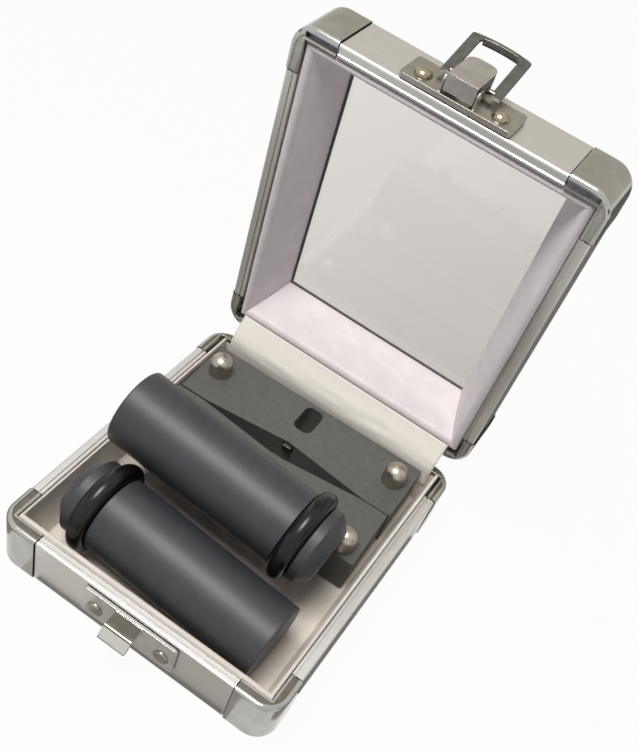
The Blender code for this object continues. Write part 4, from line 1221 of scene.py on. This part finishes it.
def left_cove(run):
    """Thin beside the jaw plates, fuller in front of them."""
    free = min(1.0, max(0.0, (JAW_SIDE_START - run) / LEFT_COVE_EASE))
    return PRESSED_ROLL + LEFT_COVE_GAIN * free * free * (3 - 2 * free)


FRONT_CLEAR = 1.0
BACK_CLEAR = 0.9
side_limits = (-HALF_D + LINING_BACK + FRONT_CLEAR, HALF_D - BACK_INSET - BACK_CLEAR)
end_limits = (-HALF_W + LINING_BACK, HALF_W - LINING_BACK)
# Side, outer face, rolled edge, cove, top, limits of the run, and whether the board runs front to back.
boards = [
    build_tray_board("left", -1, LINING_BACK, PRESSED_ROLL, left_cove, TRAY_TOP, side_limits, True),
    build_tray_board("right", 1, LINING_BACK, 1.1, lambda run: 4.0, TRAY_TOP, side_limits, True),
    build_tray_board("front", -1, LINING_BACK, 1.8, lambda run: 4.8, TRAY_TOP, end_limits, False),
    build_tray_board("back", 1, BACK_INSET, PRESSED_ROLL, lambda run: 0.8, BACK_TOP, end_limits, False),
]
print("tray boards", len(boards))

# %% [markdown]
# ## Floor cloth
# The floor of the tray is a loose piece of the same flock. It lies flat, so a simulation would only give
# back a plane: a thin closed grid with a little unevenness does as well. Its back edge laps over the lip of
# the bottom pan.

# %% Floor cloth
FLOOR_HALF = (44.9, 51.4)
FLOOR_CHAMFER = 0.8
FLOOR_LEVELS = (1.5, 2.35)
FLOOR_STEPS = 48
FLOOR_LAP = 2.0
LAP_RISE = 0.2
FLOOR_RIPPLE = (0.12, 16.0)


def floor_cloth():
    """A thin closed sheet, clipped at the corners, a little uneven, lapped over the pan's back lip."""
    shape = bmesh.new()
    stations = [FLOOR_HALF[1] * (2 * i / FLOOR_STEPS - 1) for i in range(FLOOR_STEPS + 1)]
    stations.append(FLOOR_HALF[1] + FLOOR_LAP)
    last = len(stations) - 1
    layers = []
    for level in FLOOR_LEVELS:
        rows = []
        for i, y in enumerate(stations):
            clip = max(0.0, abs(y) - FLOOR_HALF[1] + FLOOR_CHAMFER)
            base = level + (LAP_RISE if i >= last - 1 else 0.0)
            row = []
            for j in range(FLOOR_STEPS + 1):
                x = (FLOOR_HALF[0] - clip) * (2 * j / FLOOR_STEPS - 1)
                ripples = FLOOR_RIPPLE[0] * noise.noise(Vector((x, y, 0.0)) / FLOOR_RIPPLE[1])
                row.append(shape.verts.new((x, y, base + ripples)))
            rows.append(row)
        layers.append(rows)
    for rows in layers:
        for i in range(last):
            for j in range(FLOOR_STEPS):
                shape.faces.new((rows[i][j], rows[i][j + 1], rows[i + 1][j + 1], rows[i + 1][j]))
    low, high = layers
    for j in range(FLOOR_STEPS):
        for i in (0, last):
            shape.faces.new((low[i][j], low[i][j + 1], high[i][j + 1], high[i][j]))
    for i in range(last):
        for j in (0, FLOOR_STEPS):
            shape.faces.new((low[i][j], low[i + 1][j], high[i + 1][j], high[i][j]))
    bmesh.ops.recalc_face_normals(shape, faces=shape.faces)
    return shape


floor_piece = finished("tray_floor_cloth", floor_cloth(), TRAY_FLOCK, "base",
                       ["base_floor_lining"])
print("floor cloth faces", len(floor_piece.data.polygons))

# %% [markdown]
# ## Hinge tape
# A strip of white tape closes the gap at the hinge: it comes up the back of the tray, rolls over the rail
# and goes up under the lid lining. It rides no body, so it keeps this shape when the lid turns. A
# simulation could drape it, but so short a taut strip keeps to its route, so a smooth curve through a few
# points, carried across its width, is enough.

# %% Hinge tape
TAPE_HALF_WIDTH = 43.0
TAPE_THICKNESS = 0.35
TAPE_ROUTE = ((53.1, 11.5), (53.1, 16.8), (53.25, 19.0), (53.8, 20.9), (54.9, 22.6), (56.3, 24.4),
              (57.9, 26.3), (59.4, 28.2))
TAPE_STEPS = 6
TAPE_COLUMNS = 72
TAPE_SWAY = 0.25
SWAY_ACROSS_MM = 12.0
SWAY_ALONG_STEPS = 8.0
SWAY_SLICE = 3.0
TAPE_SMOOTH_DEG = 60.0


def smooth_route(points, steps):
    """Catmull-Rom curve through the points of the route."""
    line = [Vector(point) for point in points]
    line = [line[0] * 2 - line[1], *line, line[-1] * 2 - line[-2]]
    path = []
    for a, b, c, d in zip(line, line[1:], line[2:], line[3:]):
        for i in range(steps):
            t = i / steps
            path.append(0.5 * (2 * b + (c - a) * t + (2 * a - 5 * b + 4 * c - d) * t ** 2
                               + (3 * b - a - 3 * c + d) * t ** 3))
    path.append(line[-2])
    return path


tape_path = smooth_route(TAPE_ROUTE, TAPE_STEPS)
tape_shape = bmesh.new()
tape_rows = []
for i, point in enumerate(tape_path):
    run = (tape_path[min(i + 1, len(tape_path) - 1)] - tape_path[max(i - 1, 0)]).normalized()
    bend = math.sin(math.pi * i / (len(tape_path) - 1)) ** 2
    row = []
    for j in range(TAPE_COLUMNS + 1):
        x = TAPE_HALF_WIDTH * (2 * j / TAPE_COLUMNS - 1)
        spot = Vector((x / SWAY_ACROSS_MM, i / SWAY_ALONG_STEPS, SWAY_SLICE))
        sway = bend * TAPE_SWAY * noise.noise(spot)
        row.append(tape_shape.verts.new((x, point.x + run.y * sway, point.y - run.x * sway)))
    tape_rows.append(row)
for low, high in zip(tape_rows, tape_rows[1:]):
    for j in range(TAPE_COLUMNS):
        tape_shape.faces.new((low[j], low[j + 1], high[j + 1], high[j]))
bmesh.ops.recalc_face_normals(tape_shape, faces=tape_shape.faces)
tape = finished("hinge_tape", tape_shape, HINGE_TAPE, None, ["hinge_cover_strip"],
                TAPE_SMOOTH_DEG)
wall = tape.modifiers.new("thickness", "SOLIDIFY")
wall.thickness = TAPE_THICKNESS * MM
wall.offset = 0.0
baked(tape)
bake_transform(tape)

# %% [markdown]
# ## Floor and background
# The case stands on a pale floor under a dim even sky. Camera, reflection and refraction rays see plain
# white behind the object, and the floor keeps a faint shadow, because a small share of it stays matt to
# them.

# %% Floor and background
def rays_that_see_white(tree):
    """1 for camera, reflection and refraction rays, and 0 for the rest."""
    path = add(tree, "ShaderNodeLightPath")
    both = add(tree, "ShaderNodeMath", {"operation": "MAXIMUM"},
               {0: path.outputs["Is Camera Ray"], 1: path.outputs["Is Glossy Ray"]})
    return add(tree, "ShaderNodeMath", {"operation": "MAXIMUM"},
               {0: both.outputs["Value"], 1: path.outputs["Is Transmission Ray"]}).outputs["Value"]


WHITE = (1.0, 1.0, 1.0, 1.0)
SKY_TINT = (0.9, 0.89, 1.0, 1.0)
SKY_STRENGTH = 0.1
world = bpy.data.worlds.new("studio")
bpy.context.scene.world = world
world.use_nodes = True
sky = world.node_tree
sky.nodes.clear()
soft = add(sky, "ShaderNodeBackground", {"Color": SKY_TINT, "Strength": SKY_STRENGTH})
white = add(sky, "ShaderNodeBackground", {"Color": WHITE, "Strength": 1.0})
choice = add(sky, "ShaderNodeMixShader", None,
             {0: rays_that_see_white(sky), 1: soft.outputs["Background"], 2: white.outputs["Background"]})
add(sky, "ShaderNodeOutputWorld", None, {"Surface": choice.outputs["Shader"]})

FLOOR_WHITE_SHARE = 0.96
FLOOR_GREY = (0.6, 0.6, 0.6, 1.0)
FLOOR_REACH_M = 3
FLOOR_LEVEL_M = -0.0002
paper = bpy.data.materials.new("pale_paper")
paper.use_nodes = True
sheet_tree = paper.node_tree
sheet_tree.nodes.clear()
matt = add(sheet_tree, "ShaderNodeBsdfDiffuse", {"Color": FLOOR_GREY})
glow = add(sheet_tree, "ShaderNodeEmission", {"Color": WHITE, "Strength": 1.0})
share = add(sheet_tree, "ShaderNodeMath", {"operation": "MULTIPLY", 1: FLOOR_WHITE_SHARE},
            {0: rays_that_see_white(sheet_tree)})
ground = add(sheet_tree, "ShaderNodeMixShader", None,
             {0: share.outputs["Value"], 1: matt.outputs["BSDF"], 2: glow.outputs["Emission"]})
add(sheet_tree, "ShaderNodeOutputMaterial", None, {"Surface": ground.outputs["Shader"]})


def add_stage(name, low, high, material):
    """A flat box in metres, which belongs to the studio and not to the object."""
    first, second = [axis for axis in range(3) if low[axis] != high[axis]]
    corners = []
    for a, b in ((low, low), (high, low), (high, high), (low, high)):
        corner = list(low)
        corner[first] = a[first]
        corner[second] = b[second]
        corners.append(corner)
    mesh = bpy.data.meshes.new(name)
    mesh.from_pydata(corners, [], [(0, 1, 2, 3)])
    mesh.materials.append(material)
    flat = linked(name, mesh)
    return flat


add_stage("studio_floor", (-FLOOR_REACH_M, -FLOOR_REACH_M, FLOOR_LEVEL_M),
          (FLOOR_REACH_M, FLOOR_REACH_M, FLOOR_LEVEL_M), paper)
print("floor half width m", FLOOR_REACH_M)

# %% [markdown]
# ## Light and reflection cards
# One soft panel hangs overhead, a little to the front and left. Bare white all round would leave polished
# metal without form, so a few cards stand and lie around the case as they do in a studio. Only reflections
# see them: two dark ones and a beige one stand up, and the rest lie on the floor and give each wall its
# tone. The cards at the front and along the foot of the walls are painted floor shadow, seen in reflection.

# %% Light and cards
PANEL_PLACE_M = Vector((-0.12, -0.2, 0.86))
PANEL_AIM_M = Vector((0, 0.01, 0.03))
PANEL_WIDTH_M = 0.44
PANEL_WATTS = 6.6
PANEL_TINT = (1.0, 0.98, 0.95)
light = bpy.data.lights.new("ceiling_panel", "AREA")
light.shape = "DISK"
light.size = PANEL_WIDTH_M
light.energy = PANEL_WATTS
light.color = PANEL_TINT
lamp = linked("ceiling_panel", light)
lamp.location = PANEL_PLACE_M
lamp.rotation_euler = (PANEL_AIM_M - PANEL_PLACE_M).to_track_quat("-Z", "Y").to_euler()

ON_FLOOR = 0.0001
# Lowest and highest corner in metres, and tone.
CARDS = {
    "dark_flag_right": ((0.75, -0.3, 0.12), (0.75, 0.2, 0.28), "#2c2b29"),
    "dark_flag_left": ((-0.75, -0.15, 0.12), (-0.75, 0.35, 0.24), "#3a3936"),
    "beige_wall": ((-0.8, 0.95, 0.05), (1.0, 0.95, 0.95), "#dad6cb"),
    # The next two lie where the floor is in the case's shadow: painted floor shadow, seen in reflection.
    "front_left_card": ((-0.041, -0.14, ON_FLOOR), (-0.018, -0.0566, ON_FLOOR), "#dcd9d5"),
    "front_right_card": ((-0.018, -0.14, ON_FLOOR), (0.037, -0.0566, ON_FLOOR), "#bdbab6"),
    "front_far_card": ((-0.095, -0.4, ON_FLOOR), (0.2, -0.14, ON_FLOOR), "#b4b2b4"),
    "left_floor_card": ((-0.205, -0.13, ON_FLOOR), (-0.055, 0.07, ON_FLOOR), "#a29f9b"),
    "right_floor_card": ((0.055, -0.055, ON_FLOOR), (0.205, 0.045, ON_FLOOR), "#9f9b95"),
    # The foot cards are painted floor shadow along the foot of the walls, seen in reflection.
    "right_foot_card": ((0.0506, -0.036, ON_FLOOR), (0.055, 0.04, ON_FLOOR), "#4a4743"),
    "front_foot_card": ((-0.035, -0.0585, ON_FLOOR * 2), (0.035, -0.0568, ON_FLOOR * 2), "#77746f"),
    "back_floor_card": ((0.03, 0.08, ON_FLOOR), (0.4, 0.6, ON_FLOOR), "#6c6a67"),
}
for name, (low, high, hex_colour) in CARDS.items():
    shade = bpy.data.materials.new(name)
    shade.use_nodes = True
    shade.node_tree.nodes.clear()
    tone = add(shade.node_tree, "ShaderNodeEmission", {"Color": srgb(hex_colour), "Strength": 1.0})
    add(shade.node_tree, "ShaderNodeOutputMaterial", None, {"Surface": tone.outputs["Emission"]})
    card = add_stage(name, low, high, shade)
    for ray in ("camera", "diffuse", "transmission", "volume_scatter", "shadow"):
        setattr(card, "visible_" + ray, False)
print("light set, with", len(CARDS), "cards")
